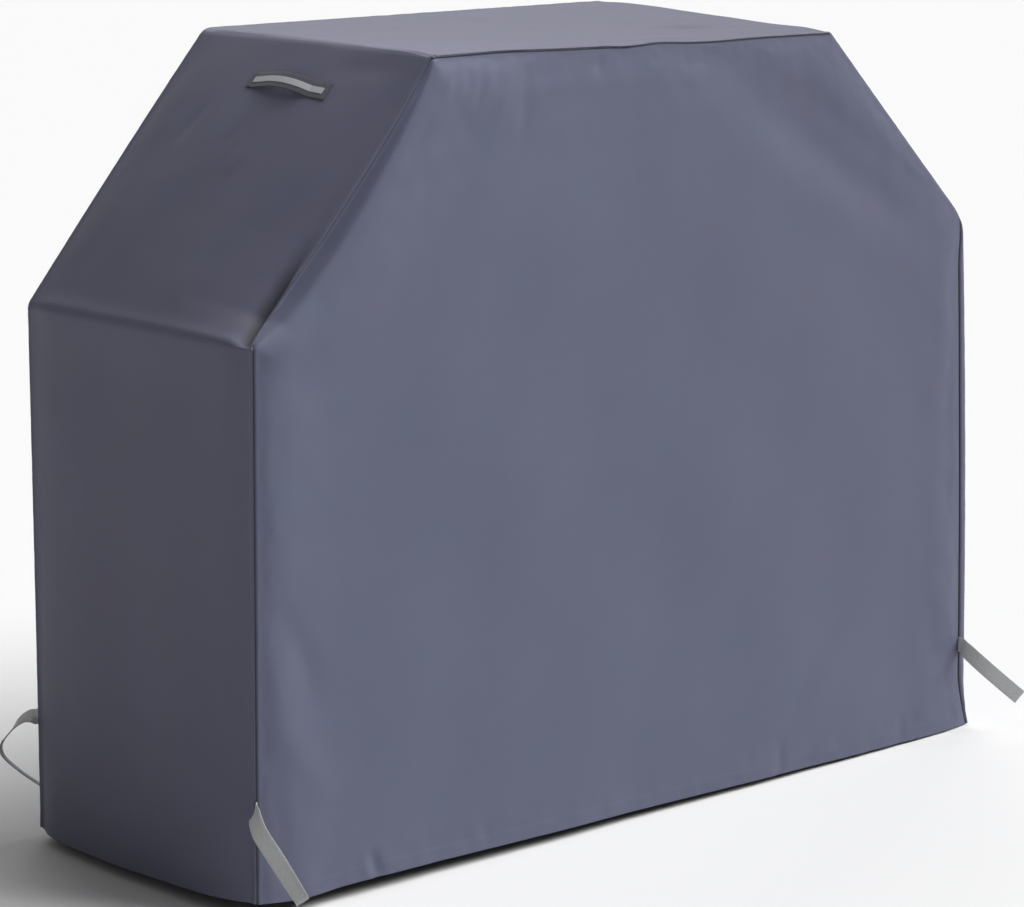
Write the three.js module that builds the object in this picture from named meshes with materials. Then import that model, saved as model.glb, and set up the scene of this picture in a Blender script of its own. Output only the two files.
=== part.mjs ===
// Fitted barbecue cover of coated polyester cloth, standing in the shape that it takes over what it hides.
// One long strip of cloth makes the left side, the left slope, the top, the right slope and the right side.
// A front and a back panel are sewn to its two long edges. Webbing straps hang from the seams near the hem,
// and a webbing handle with a pale tape is sewn across each slope.
// Millimetres, +Z up, X along the cover's length, -Y towards its front.
// The origin is the middle of the top's underside, which is what the cover hangs from.
import * as THREE from 'three';

// Driving dimensions
const CLOTH = 2; // thickness of the cloth sheets
const SEAM_GAP = 0.3; // parting between two sheets along a seam
const HALF_DEPTH = 260; // from the middle plane to the crest of the front or back corner
const CORNER_RADIUS = 15; // how softly the strip turns into the front and back panels
const WRAP_LENGTH = 14.5; // how far the strip runs onto the front where its seam has slipped forwards
const CURVE_CELLS = 4; // facets round each fold of the profile
const STRIP_CORNER_CELLS = 3; // facets across each soft corner of the strip
const STRIP_MARKS = [-205, -135, -48, 48, 135, 205]; // y of the strip's inner columns

// The profile from the left hem over the top to the right hem, one row for each fold: where it lies at the
// front and at the back (x, z), how far it is rounded along each side, and how far the strip bulges out there
// halfway across. Then the stretch after it: its facets and end marks, how far it bows inwards at the front
// and at the back, and how far the strip sags at its middle.
const PROFILE = [
  { fold: 'left hem', front: [-739, -1163.5], back: [-741, -1168], round: [0, 0], bulge: 25,
    cells: 9, near: [28], bow: [0, 0.5], sag: 0 },
  { fold: 'left shoulder', front: [-733, -362], back: [-740.5, -369], round: [38, 22], bulge: 3,
    cells: 8, near: [28], bow: [13, -2.3], sag: 0 },
  { fold: 'left top edge', front: [-402, 15], back: [-406, 11.3], round: [11, 20], bulge: 0,
    cells: 22, near: [24, 58], bow: [0, 0], sag: 3.6 },
  { fold: 'right top edge', front: [409, -13], back: [412, -5.7], round: [12, 18], bulge: 0,
    cells: 8, near: [28], bow: [0.5, 4], sag: 0 },
  { fold: 'right shoulder', front: [725, -338], back: [734, -356], round: [36, 30], bulge: 3,
    cells: 9, near: [28], bow: [-6.5, 0], sag: 0 },
  { fold: 'right hem', front: [753, -1184.5], back: [748, -1180], round: [0, 0], bulge: 22 },
];
const HEM_FLARE = { right: 12, left: 0, height: 95 }; // how the front corners splay out just above the hem
const STRIP_HEM = { drop: 3.5, reach: 70 }; // how much lower the sides' hems hang away from the corners
const BULGE_POWER = 4; // how boxy the sides' bulge is across the strip
const PRESSED_FADE = [6, 30]; // distances from a corner over which the strip's folds build up

// How the top's front seam rises and dips along the cover
const TOP_RIPPLES = [
  { x: -270, rise: 2.2, width: 90 },
  { x: -14, rise: -2.2, width: 34 },
  { x: 48, rise: 1.8, width: 36 },
  { x: 150, rise: -2, width: 70 },
];

// Where the strip's seam has slipped onto the front, on the right side only
const SEAM_SLIP = { starts: -335, full: -395, eases: -1095, hem: -1184, leftAtHem: 0.35 };

// The panels' broad shape: a raised roll beside the seams, a light crown, and a hem that swings outwards
const PANELS = {
  front: { side: -1, crown: 4, rollLeft: 4.5, rollRight: 2.5, flare: 5, hemDrop: 0, sagAt: -655, sagDrop: 4 },
  back: { side: 1, crown: 5, rollLeft: 3, rollRight: 3, flare: 8, hemDrop: 4, sagAt: 640, sagDrop: 4 },
};
const HEM_SAG = { width: 60, fade: 8 }; // half width of a panel hem's lowest place, and its fading upwards
const HEM_DROP_SHARE = 0.05; // share of the width over which a panel's hem drops from its corner
const ROLL = { crest: 38, spread: 24 }; // distance of the roll from its seam, and its half width
const FLARE = { below: 40, above: 420, reach: 110 }; // heights round the hem of the swing, and its reach
const CROWN_REACH = [20, 300]; // distances from the seam over which the crown builds up
const FOLD_REACH = [3, 34]; // distances from the seam over which the folds build up
const FOLD_STEPS = 10; // points looked at along a fold
const FOLD_END = 0.12; // share of a fold's fading curve that is left out at each end

// Folds pressed into the panels. Each runs from one (x, z) over a middle point to the other end.
// rise is its height at the crest, below zero for a trough, and width its half width.
const FRONT_FOLDS = [
  { name: 'lower trough', from: [150, -22], over: [420, -205], to: [640, -318], rise: -7, width: 26 },
  { name: 'upper trough', from: [262, -42], over: [465, -152], to: [672, -296], rise: -7, width: 22 },
  { name: 'ridge between', from: [290, -85], over: [470, -200], to: [630, -290], rise: 3, width: 24 },
  { name: 'first gather', from: [-344, 6], over: [-352, -22], to: [-362, -60], rise: -5, width: 11 },
  { name: 'second gather', from: [-304, 6], over: [-306, -18], to: [-322, -50], rise: -5, width: 11 },
  { name: 'faint gather', from: [-212, 4], over: [-226, -50], to: [-236, -120], rise: -2, width: 16 },
  { name: 'low left trough', from: [-682, -880], over: [-664, -915], to: [-640, -955], rise: -5, width: 26 },
  { name: 'low left ridge', from: [-716, -900], over: [-672, -975], to: [-598, -1078], rise: 5, width: 26 },
  { name: 'low right sag', from: [470, -800], over: [420, -900], to: [390, -1010], rise: -3, width: 40 },
  { name: 'right seam sag', from: [655, -420], over: [640, -560], to: [662, -720], rise: -3, width: 34 },
];
const BACK_FOLDS = [
  { name: 'left slope trough', from: [-250, -35], over: [-430, -170], to: [-620, -300], rise: -6, width: 28 },
  { name: 'right slope trough', from: [230, -40], over: [420, -180], to: [610, -310], rise: -6, width: 28 },
  { name: 'low ridge', from: [600, -900], over: [560, -990], to: [500, -1080], rise: 5, width: 30 },
];

// Folds pressed into the strip, placed by the distance up the slope from the shoulder fold and by y
const STRIP_FOLDS = [
  { name: 'hollow beside the front seam', slope: 'left', up: 70, y: -222, rise: -9, length: 62, width: 26 },
  { name: 'hollow beside the back seam', slope: 'right', up: 80, y: 215, rise: -7, length: 60, width: 30 },
];

// The handles: webbing sewn flat at both ends and arched between, with a pale tape along its middle
const HANDLE = {
  up: 421, middle: -8, length: 182, width: 28, thickness: 2, sewn: 22, lift: 11.5, skew: -0.06,
  tape: 10.5, tapeLength: 160, tapeThickness: 1, cells: 20, clearance: 0.5, gap: 0.35,
  fullness: 1.3,
};

// The straps: 25 mm webbing that leaves a seam near the hem with its width upright. Each row of a route is a
// step away from the root (x, y, z) and the direction of the strap's width there.
const STRAP = { width: 25, thickness: 1.8, cells: 22, clearance: 1.6 };
const STRAPS = [
  { name: 'strap_front_left', seam: 'front', side: 'left', height: -1025, route: [
    { step: [-8, -7, 1], across: [0.18, -0.15, 0.97] },
    { step: [-17, -18, -2], across: [0.37, -0.56, 0.74] },
    { step: [-23, -37, -16], across: [0.58, -0.59, 0.56] },
    { step: [-20, -66, -49], across: [0.59, -0.58, 0.56] },
    { step: [-4, -107, -108], across: [0.27, -0.77, 0.58] },
  ] },
  { name: 'strap_front_right', seam: 'front', side: 'right', height: -1045, route: [
    { step: [0, -5, 0], across: [0, 0, 1] },
    { step: [-2, -14, -5], across: [0.04, -0.06, 1] },
    { step: [-2, -32, -14], across: [0.08, -0.15, 0.98] },
    { step: [5, -59, -29], across: [0.1, -0.3, 0.94] },
    { step: [18, -85, -48], across: [0.12, -0.4, 0.9] },
    { step: [35, -111, -69], across: [0.12, -0.48, 0.87] },
  ] },
  { name: 'strap_rear_left', seam: 'back', side: 'left', height: -1001, route: [
    { step: [-3, 5, 0], across: [0.05, 0.05, 1] },
    { step: [-3, 21, -3], across: [0.4, 0.4, 0.8] },
    { step: [-10, 37, -16], across: [0.55, 0.65, 0.5] },
    { step: [-23, 59, -45], across: [0.66, 0.74, -0.1] },
    { step: [-19, 63, -69], across: [0.66, 0.74, -0.13] },
    { step: [-5, 56, -87], across: [0.66, 0.74, -0.13] },
    { step: [24, 41, -116], across: [0.66, 0.74, -0.13] },
  ] },
  { name: 'strap_rear_right', seam: 'back', side: 'right', height: -1040, route: [
    { step: [8, 8, 0], across: [-0.18, 0.15, 0.97] },
    { step: [17, 20, -4], across: [-0.37, 0.56, 0.74] },
    { step: [22, 38, -20], across: [-0.55, 0.6, 0.58] },
    { step: [20, 60, -56], across: [-0.6, 0.58, 0.55] },
    { step: [10, 84, -112], across: [-0.5, 0.7, 0.5] },
  ] },
];

// Finishes
const FINISHES = {
  panel: { color: 0x5e6173, roughness: 0.62, metalness: 0 },
  strip: { color: 0x5b5e70, roughness: 0.62, metalness: 0 },
  webbing: { color: 0x4b4d5c, roughness: 0.8, metalness: 0 },
  strap: { color: 0x86878a, roughness: 0.85, metalness: 0 },
  tape: { color: 0x9a9ba2, roughness: 0.45, metalness: 0 },
};

const ENDS = ['front', 'back'];
const TOP = 2; // the top's stretch of the profile
const SLOPES = { left: { stretch: 1, shoulder: 1 }, right: { stretch: 3, shoulder: 4 } };
const lerp = THREE.MathUtils.lerp;
const smooth = THREE.MathUtils.smoothstep;

// Fractions along a stretch: fixed marks near both ends and equal cells between them
function spacing(length, cells, near) {
  const first = near.at(-1);
  const middle = Array.from({ length: cells - 1 }, (_, i) => lerp(first, length - first, (i + 1) / cells));
  const marks = [...near, ...middle, ...near.map((d) => length - d).reverse()];
  return marks.map((d) => d / length);
}

// A point of the profile's stretch i at fraction f, at the front or back, bowed and flared as it hangs
function onStretch(i, f, end) {
  const k = ENDS.indexOf(end);
  const [x0, z0] = PROFILE[i][end];
  const [x1, z1] = PROFILE[i + 1][end];
  const length = Math.hypot(x1 - x0, z1 - z0);
  const inward = new THREE.Vector2(z1 - z0, x0 - x1).divideScalar(length);
  const point = new THREE.Vector2(lerp(x0, x1, f), lerp(z0, z1, f));
  point.addScaledVector(inward, PROFILE[i].bow[k] * 4 * f * (1 - f));
  if (i === TOP && end === 'front') {
    for (const { x, rise, width } of TOP_RIPPLES) point.y += rise * Math.exp(-(((point.x - x) / width) ** 2));
  }
  return point;
}

// The stations of the profile at one end, with the strip's outward direction and its bulge at each
function profileStations(end) {
  const k = ENDS.indexOf(end);
  const stations = [];
  const lengths = PROFILE.slice(0, -1).map((row, i) => {
    const next = PROFILE[i + 1];
    return Math.hypot(next[end][0] - row[end][0], next[end][1] - row[end][1]);
  });
  const add = (point, stretch) => stations.push({ point, stretch });
  PROFILE.slice(0, -1).forEach((row, i) => {
    const length = lengths[i];
    const start = row.round[k] / length;
    const stop = 1 - PROFILE[i + 1].round[k] / length;
    const clear = (stop - start) * length;
    if (i === 0) add(onStretch(0, 0, end), 0);
    for (const f of spacing(clear, row.cells, row.near)) add(onStretch(i, lerp(start, stop, f), end), i);
    if (i === lengths.length - 1) {
      add(onStretch(i, 1, end), i);
      return;
    }
    const before = onStretch(i, stop, end);
    const after = onStretch(i + 1, PROFILE[i + 1].round[k] / lengths[i + 1], end);
    const fold = new THREE.Vector2(...PROFILE[i + 1][end]);
    const curve = new THREE.QuadraticBezierCurve(before, fold, after);
    for (let c = 0; c <= CURVE_CELLS; c += 1) {
      add(curve.getPoint(c / CURVE_CELLS), c < CURVE_CELLS / 2 ? i : i + 1);
    }
  });
  for (const station of stations) flareHem(station.point, end);
  stations.forEach((station, s) => {
    const a = stations[Math.max(s - 1, 0)].point;
    const b = stations[Math.min(s + 1, stations.length - 1)].point;
    station.out = new THREE.Vector2(a.y - b.y, b.x - a.x).normalize();
  });
  return stations;
}

// How near a point of the profile is to its hem: 1 at the hem, 0 from the top of the flare upwards
function nearHem(point) {
  const hem = (point.x < 0 ? PROFILE[0] : PROFILE.at(-1)).front[1];
  return Math.max(0, 1 - (point.y - hem) / HEM_FLARE.height) ** 2;
}

// The front corners splay outwards just above the hem
function flareHem(point, end) {
  if (end !== 'front') return;
  point.x += nearHem(point) * (point.x < 0 ? -HEM_FLARE.left : HEM_FLARE.right);
}

// How far the strip's seam has slipped onto the front at this height: 0 at the crest, 1 flat on the front
function seamSlip(station, end) {
  const { x, y: z } = station.point;
  if (end !== 'front' || x < 0 || z > SEAM_SLIP.starts) return 0;
  const slipped = 1 - smooth(z, SEAM_SLIP.full, SEAM_SLIP.starts);
  return slipped * lerp(SEAM_SLIP.leftAtHem, 1, smooth(z, SEAM_SLIP.hem, SEAM_SLIP.eases));
}

// A point on the strip's soft corner, c = 0 at the seam and 1 where the strip has turned flat
function onCorner(station, end, c) {
  const side = end === 'front' ? -1 : 1;
  const slip = seamSlip(station, end);
  const firstAngle = (Math.PI / 4) * (1 - slip);
  const flat = WRAP_LENGTH * slip;
  const walked = c * (flat + CORNER_RADIUS * (Math.PI / 2 - firstAngle)) - flat;
  const angle = firstAngle + Math.max(walked, 0) / CORNER_RADIUS;
  const crest = CORNER_RADIUS * Math.SQRT1_2;
  const rise = CORNER_RADIUS * Math.sin(angle) - crest + Math.min(walked, 0);
  const y = side * (HALF_DEPTH - crest + CORNER_RADIUS * Math.cos(angle));
  const { point, out } = station;
  const position = new THREE.Vector3(point.x + out.x * rise, y, point.y + out.y * rise);
  const turn = (a) => new THREE.Vector3(out.x * Math.sin(a), side * Math.cos(a), out.y * Math.sin(a));
  const along = (a) => new THREE.Vector3(out.x * Math.cos(a), -side * Math.sin(a), out.y * Math.cos(a));
  return { position, normal: turn(angle), towards: along(angle) };
}

// How far the strip stands out of its straight line at a point of a stretch: it bulges halfway across by what
// the folds at both ends state, gathering towards the larger, sags at its middle and has its folds
function stripRise(stretch, point, y) {
  const row = PROFILE[stretch];
  const next = PROFILE[stretch + 1];
  const across = 1 - (Math.abs(y) / HALF_DEPTH) ** BULGE_POWER;
  const axis = stretch === TOP ? 0 : 1;
  const done = (point.getComponent(axis) - row.front[axis]) / (next.front[axis] - row.front[axis]);
  const t = THREE.MathUtils.clamp(done, 0, 1);
  const gathered = row.bulge > next.bulge ? 1 - (1 - t) ** 2 : t * t;
  const bulge = lerp(row.bulge, next.bulge, gathered) - row.sag * 4 * t * (1 - t);
  const pressed = STRIP_FOLDS.filter((fold) => SLOPES[fold.slope].stretch === stretch).map((fold) => {
    const shoulder = PROFILE[SLOPES[fold.slope].shoulder];
    const x = (shoulder.front[0] + shoulder.back[0]) / 2;
    const z = (shoulder.front[1] + shoulder.back[1]) / 2;
    const along = (Math.hypot(point.x - x, point.y - z) - fold.up) / fold.length;
    const sideways = (y - fold.y) / fold.width;
    return fold.rise * Math.exp(-along * along - sideways * sideways);
  });
  const folds = pressed.reduce((sum, rise) => sum + rise, 0);
  return bulge * across + folds * smooth(HALF_DEPTH - Math.abs(y), ...PRESSED_FADE);
}

// A point of the strip between its flat edges, blended from the front and back profiles
function onStrip(front, back, y) {
  const flatEdge = HALF_DEPTH - CORNER_RADIUS * Math.SQRT1_2;
  const t = (y + flatEdge) / (2 * flatEdge);
  const point = front.point.clone().lerp(back.point, t);
  const out = front.out.clone().lerp(back.out, t).normalize();
  const rise = CORNER_RADIUS * (1 - Math.SQRT1_2) + stripRise(front.stretch, point, y);
  const drop = STRIP_HEM.drop * nearHem(point) * smooth(HALF_DEPTH - Math.abs(y), 0, STRIP_HEM.reach);
  return new THREE.Vector3(point.x + out.x * rise, y, point.y + out.y * rise - drop);
}

// The line at which a panel meets the strip: position, surface normal and the way across the seam
function seamLine(stations, end) {
  return stations.map((station) => onCorner(station, end, 0));
}

// A closed sheet from a grid of outer points and the outward normals there
function sheetSolid(rows, normals, flip) {
  const height = rows.length;
  const width = rows[0].length;
  const positions = [];
  rows.forEach((row) => row.forEach((p) => positions.push(p.x, p.y, p.z)));
  rows.forEach((row, j) => row.forEach((p, i) => {
    const inner = p.clone().addScaledVector(normals[j][i], -CLOTH);
    positions.push(inner.x, inner.y, inner.z);
  }));
  const index = [];
  const outer = (j, i) => j * width + i;
  const inner = (j, i) => outer(j, i) + width * height;
  const quad = (a, b, c, d) => {
    if (flip) index.push(a, c, b, a, d, c);
    else index.push(a, b, c, a, c, d);
  };
  for (let j = 0; j + 1 < height; j += 1) {
    for (let i = 0; i + 1 < width; i += 1) {
      quad(outer(j, i), outer(j, i + 1), outer(j + 1, i + 1), outer(j + 1, i));
      quad(inner(j, i), inner(j + 1, i), inner(j + 1, i + 1), inner(j, i + 1));
    }
  }
  for (let i = 0; i + 1 < width; i += 1) {
    quad(outer(0, i), inner(0, i), inner(0, i + 1), outer(0, i + 1));
    quad(outer(height - 1, i + 1), inner(height - 1, i + 1), inner(height - 1, i), outer(height - 1, i));
  }
  for (let j = 0; j + 1 < height; j += 1) {
    quad(outer(j + 1, 0), inner(j + 1, 0), inner(j, 0), outer(j, 0));
    quad(outer(j, width - 1), inner(j, width - 1), inner(j + 1, width - 1), outer(j + 1, width - 1));
  }
  return bufferGeometry(positions, index);
}

function bufferGeometry(positions, index) {
  const geometry = new THREE.BufferGeometry();
  geometry.setAttribute('position', new THREE.Float32BufferAttribute(positions, 3));
  geometry.setIndex(index);
  geometry.computeVertexNormals();
  return geometry;
}

// Outward normals of a grid by central differences, with the given ones kept where they are stated
function gridNormals(rows, sign, stated) {
  const height = rows.length;
  const width = rows[0].length;
  return rows.map((row, j) => row.map((p, i) => {
    const kept = stated(j, i);
    if (kept) return kept;
    const du = rows[j][Math.min(i + 1, width - 1)].clone().sub(rows[j][Math.max(i - 1, 0)]);
    const dv = rows[Math.min(j + 1, height - 1)][i].clone().sub(rows[Math.max(j - 1, 0)][i]);
    return du.cross(dv).normalize().multiplyScalar(sign);
  }));
}

// The strip: one row of the grid at each profile station, from the front seam across to the back seam
function stripGeometry(frontStations, backStations) {
  const stated = [];
  const corner = (station, end) => {
    const points = Array.from({ length: STRIP_CORNER_CELLS + 1 }, (_, c) => {
      return onCorner(station, end, c / STRIP_CORNER_CELLS);
    });
    points[0].position.addScaledVector(points[0].towards, SEAM_GAP / 2);
    return points;
  };
  const rows = frontStations.map((front, s) => {
    const back = backStations[s];
    const first = corner(front, 'front');
    const last = corner(back, 'back');
    const middle = STRIP_MARKS.map((y) => ({ position: onStrip(front, back, y) }));
    stated.push([first[0].normal, last[0].normal]);
    return [...first, ...middle, ...last.reverse()].map((entry) => entry.position);
  });
  const lastColumn = rows[0].length - 1;
  const normals = gridNormals(rows, -1, (j, i) => {
    if (i === 0) return stated[j][0];
    return i === lastColumn ? stated[j][1] : null;
  });
  return sheetSolid(rows, normals, true);
}

// Distance in the panel's plane from a point to the line of seam points
function seamDistance(x, z, seam) {
  let nearest = { distance: Infinity, tuck: 0 };
  for (let s = 0; s + 1 < seam.length; s += 1) {
    const a = seam[s].position;
    const b = seam[s + 1].position;
    const ab = [b.x - a.x, b.z - a.z];
    const t = ((x - a.x) * ab[0] + (z - a.z) * ab[1]) / (ab[0] ** 2 + ab[1] ** 2);
    const f = THREE.MathUtils.clamp(t, 0, 1);
    const distance = Math.hypot(x - a.x - ab[0] * f, z - a.z - ab[1] * f);
    if (distance < nearest.distance) nearest = { distance, tuck: lerp(Math.abs(a.y), Math.abs(b.y), f) };
  }
  return nearest;
}

// How far a fold raises the cloth at (x, z): a soft ridge along its curve that fades out at both ends
function foldRise(fold, x, z) {
  const ends = [fold.from, fold.over, fold.to].map((at) => new THREE.Vector2(...at));
  const curve = new THREE.QuadraticBezierCurve(...ends);
  const place = new THREE.Vector2(x, z);
  let best = { distance: Infinity, t: 0 };
  for (let k = 0; k <= FOLD_STEPS; k += 1) {
    const t = k / FOLD_STEPS;
    const distance = curve.getPoint(t).distanceTo(place);
    if (distance < best.distance) best = { distance, t };
  }
  const fade = Math.sin(Math.PI * lerp(FOLD_END, 1 - FOLD_END, best.t));
  return fold.rise * fade * Math.exp(-((best.distance / fold.width) ** 2));
}

// How far the panel's face lies from the middle plane at (x, z)
function panelReach(shape, folds, seam, x, z) {
  const face = HALF_DEPTH + CORNER_RADIUS * (1 - Math.SQRT1_2);
  const { distance, tuck } = seamDistance(x, z, seam);
  const sunk = Math.max(0, face - tuck);
  const radius = sunk / (1 - Math.SQRT1_2);
  const turning = Math.max(0, radius * Math.SQRT1_2 - distance);
  const rim = radius > 0 ? radius - Math.sqrt(radius * radius - turning * turning) : 0;
  const roll = x < 0 ? shape.rollLeft : shape.rollRight;
  const away = smooth(distance, 0, ROLL.crest);
  const ridge = roll * away * Math.exp(-(((distance - ROLL.crest) / ROLL.spread) ** 2));
  const [left, right] = [seam[0].position, seam.at(-1).position];
  const hem = lerp(left.z, right.z, (x - left.x) / (right.x - left.x));
  const low = 1 - smooth(z, hem - FLARE.below, hem + FLARE.above);
  const crown = shape.crown * smooth(distance, ...CROWN_REACH);
  const flare = shape.flare * low * low * smooth(distance, 0, FLARE.reach);
  const pressed = folds.reduce((sum, fold) => sum + foldRise(fold, x, z), 0);
  return face - rim + ridge + crown + flare + pressed * smooth(distance, ...FOLD_REACH);
}

// A panel: rows from the hem to the top seam, between the left and the right run of its seam line
function panelGeometry(name, seam) {
  const shape = PANELS[name];
  const folds = name === 'front' ? FRONT_FOLDS : BACK_FOLDS;
  const cornerAt = seamCorners();
  const left = seam.slice(0, cornerAt.left + 1);
  const top = seam.slice(cornerAt.left, cornerAt.right + 1);
  const right = seam.slice(cornerAt.right).reverse();
  const span = (a, b) => a.position.distanceTo(b.position);
  const topSteps = [0];
  top.slice(1).forEach((entry, i) => topSteps.push(topSteps[i] + span(top[i], entry)));
  const topLength = topSteps.at(-1);
  const fixed = CURVE_CELLS / 2 + PROFILE[TOP].near.length;
  const columns = top.length;
  const inner = columns - 1 - 2 * fixed;
  const shareAt = (i, length) => {
    if (i <= fixed) return topSteps[i] / length;
    if (i >= columns - 1 - fixed) return 1 - (topLength - topSteps[i]) / length;
    const from = topSteps[fixed] / length;
    const to = 1 - (topLength - topSteps[columns - 1 - fixed]) / length;
    return lerp(from, to, (i - fixed) / inner);
  };
  const bottom = (left[0].position.z + right[0].position.z) / 2;
  const summit = (left.at(-1).position.z + right.at(-1).position.z) / 2;
  const onSeam = (j, i) => {
    if (j === left.length - 1) return top[i];
    if (i === 0) return left[j];
    return i === columns - 1 ? right[j] : null;
  };
  const [topLeft, topRight] = [top[0].position, top.at(-1).position];
  const rows = left.map(({ position: a }, j) => {
    const b = right[j].position;
    const length = a.distanceTo(b);
    const raised = ((a.z + b.z) / 2 - bottom) / (summit - bottom);
    return top.map((topEntry, i) => {
      const entry = onSeam(j, i);
      if (entry) return entry.position.clone().addScaledVector(entry.towards, -SEAM_GAP / 2);
      const share = shareAt(i, length);
      const topShare = topSteps[i] / topLength;
      const shift = topEntry.position.clone().sub(topLeft.clone().lerp(topRight, topShare));
      const x = lerp(a.x, b.x, share) + shift.x * raised;
      const lowest = Math.exp(-(((x - shape.sagAt) / HEM_SAG.width) ** 2)) * (1 - raised) ** HEM_SAG.fade;
      const dropped = smooth(Math.min(share, 1 - share), 0, HEM_DROP_SHARE) * (1 - raised);
      const sag = shape.sagDrop * lowest + shape.hemDrop * dropped;
      const z = lerp(a.z, b.z, share) + shift.z * raised - sag;
      return new THREE.Vector3(x, shape.side * panelReach(shape, folds, seam, x, z), z);
    });
  });
  const normals = gridNormals(rows, -shape.side, (j, i) => onSeam(j, i)?.normal);
  return sheetSolid(rows, normals, name === 'back');
}

// The two stations at which the seam turns from a slope onto the top
function seamCorners() {
  const stretchCells = (row) => row.cells - 1 + 2 * row.near.length;
  const toFold = (count) => PROFILE.slice(0, count).reduce((sum, row) => sum + stretchCells(row), 0);
  const left = 1 + toFold(2) + (CURVE_CELLS + 1) + CURVE_CELLS / 2;
  const right = 1 + toFold(3) + 2 * (CURVE_CELLS + 1) + CURVE_CELLS / 2;
  return { left, right };
}

// A flat ribbon through stations of { centre, across, up }, with a rectangular section standing on centre
function ribbonSolid(stations, width, thickness) {
  const positions = [];
  const index = [];
  for (const { centre, across, up } of stations) {
    const corners = [[-1, 0], [1, 0], [1, 1], [-1, 1]];
    for (const [a, b] of corners) {
      const p = centre.clone().addScaledVector(across, (a * width) / 2).addScaledVector(up, b * thickness);
      positions.push(p.x, p.y, p.z);
    }
  }
  const last = 4 * (stations.length - 1);
  for (let s = 0; s + 1 < stations.length; s += 1) {
    for (let c = 0; c < 4; c += 1) {
      const a = 4 * s + c;
      const b = 4 * s + ((c + 1) % 4);
      index.push(a, a + 4, b, b, a + 4, b + 4);
    }
  }
  index.push(0, 1, 2, 0, 2, 3, last, last + 2, last + 1, last, last + 3, last + 2);
  return orientOutwards(bufferGeometry(positions, index));
}

// Turns a closed mesh's faces over where they point inwards
function orientOutwards(geometry) {
  const position = geometry.getAttribute('position');
  const index = geometry.getIndex().array;
  let volume = 0;
  const corner = [new THREE.Vector3(), new THREE.Vector3(), new THREE.Vector3()];
  for (let t = 0; t < index.length; t += 3) {
    corner.forEach((v, k) => v.fromBufferAttribute(position, index[t + k]));
    volume += corner[0].dot(corner[1].clone().cross(corner[2]));
  }
  if (volume < 0) {
    for (let t = 0; t < index.length; t += 3) [index[t], index[t + 1]] = [index[t + 1], index[t]];
    geometry.computeVertexNormals();
  }
  return geometry;
}

// A point of a slope's facets by the distance up from its shoulder and y, with the outward and uphill ways
function onSlope(stations, side, up, y) {
  const { stretch, shoulder } = SLOPES[side];
  const { front, back } = PROFILE[shoulder];
  const foot = new THREE.Vector3((front[0] + back[0]) / 2, y, (front[1] + back[1]) / 2);
  const rows = stations.front
    .map((station, s) => ({ station, point: onStrip(station, stations.back[s], y) }))
    .filter(({ station }) => station.stretch === stretch)
    .map(({ point }) => ({ point, walked: point.distanceTo(foot) }))
    .sort((a, b) => a.walked - b.walked);
  const above = rows.findIndex(({ walked }) => walked > up);
  const [low, high] = [rows[above - 1], rows[above]];
  const here = low.point.clone().lerp(high.point, (up - low.walked) / (high.walked - low.walked));
  const uphill = high.point.clone().sub(low.point).normalize();
  const out = uphill.clone().cross(new THREE.Vector3(0, side === 'left' ? 1 : -1, 0)).normalize();
  return { here, uphill, out };
}

// The handle's run across a slope: sewn flat at its ends and arched between them
function handleStations(stations, side, length, over) {
  const { up, middle, sewn, lift, skew, cells } = HANDLE;
  const free = HANDLE.length - 2 * sewn;
  return Array.from({ length: cells + 1 }, (_, k) => {
    const y = middle + length * (k / cells - 0.5);
    const t = THREE.MathUtils.clamp((y - middle) / free + 0.5, 0, 1);
    const skewed = t ** (1 + skew);
    const arch = lift * Math.sin(Math.PI * skewed) ** HANDLE.fullness;
    const { here, uphill, out } = onSlope(stations, side, up, y);
    return { centre: here.addScaledVector(out, HANDLE.clearance + arch + over), across: uphill, up: out };
  });
}

// A strap from its root in a seam along its route
function strapStations(strap, stations) {
  const seam = seamLine(stations, strap.seam);
  const half = Math.floor(seam.length / 2);
  const run = strap.side === 'left' ? seam.slice(0, half) : seam.slice(half).reverse();
  const above = run.findIndex((entry) => entry.position.z > strap.height);
  const [a, b] = [run[above - 1], run[above]];
  const t = (strap.height - a.position.z) / (b.position.z - a.position.z);
  const root = a.position.clone().lerp(b.position, t);
  root.addScaledVector(a.normal.clone().lerp(b.normal, t).normalize(), STRAP.clearance);
  const points = [root];
  const across = [new THREE.Vector3(0, 0, 1)];
  for (const row of strap.route) {
    points.push(root.clone().add(new THREE.Vector3(...row.step)));
    across.push(new THREE.Vector3(...row.across).normalize());
  }
  const route = new THREE.CatmullRomCurve3(points);
  const widths = new THREE.CatmullRomCurve3(across);
  return Array.from({ length: STRAP.cells + 1 }, (_, k) => {
    const f = k / STRAP.cells;
    const tangent = route.getTangent(f);
    const side = widths.getPoint(f);
    side.addScaledVector(tangent, -side.dot(tangent)).normalize();
    const up = tangent.clone().cross(side).normalize();
    return { centre: route.getPoint(f).addScaledVector(up, -STRAP.thickness / 2), across: side, up };
  });
}

function piece(name, geometry, finish) {
  const mesh = new THREE.Mesh(geometry, new THREE.MeshStandardMaterial(FINISHES[finish]));
  mesh.name = name;
  return mesh;
}

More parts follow.
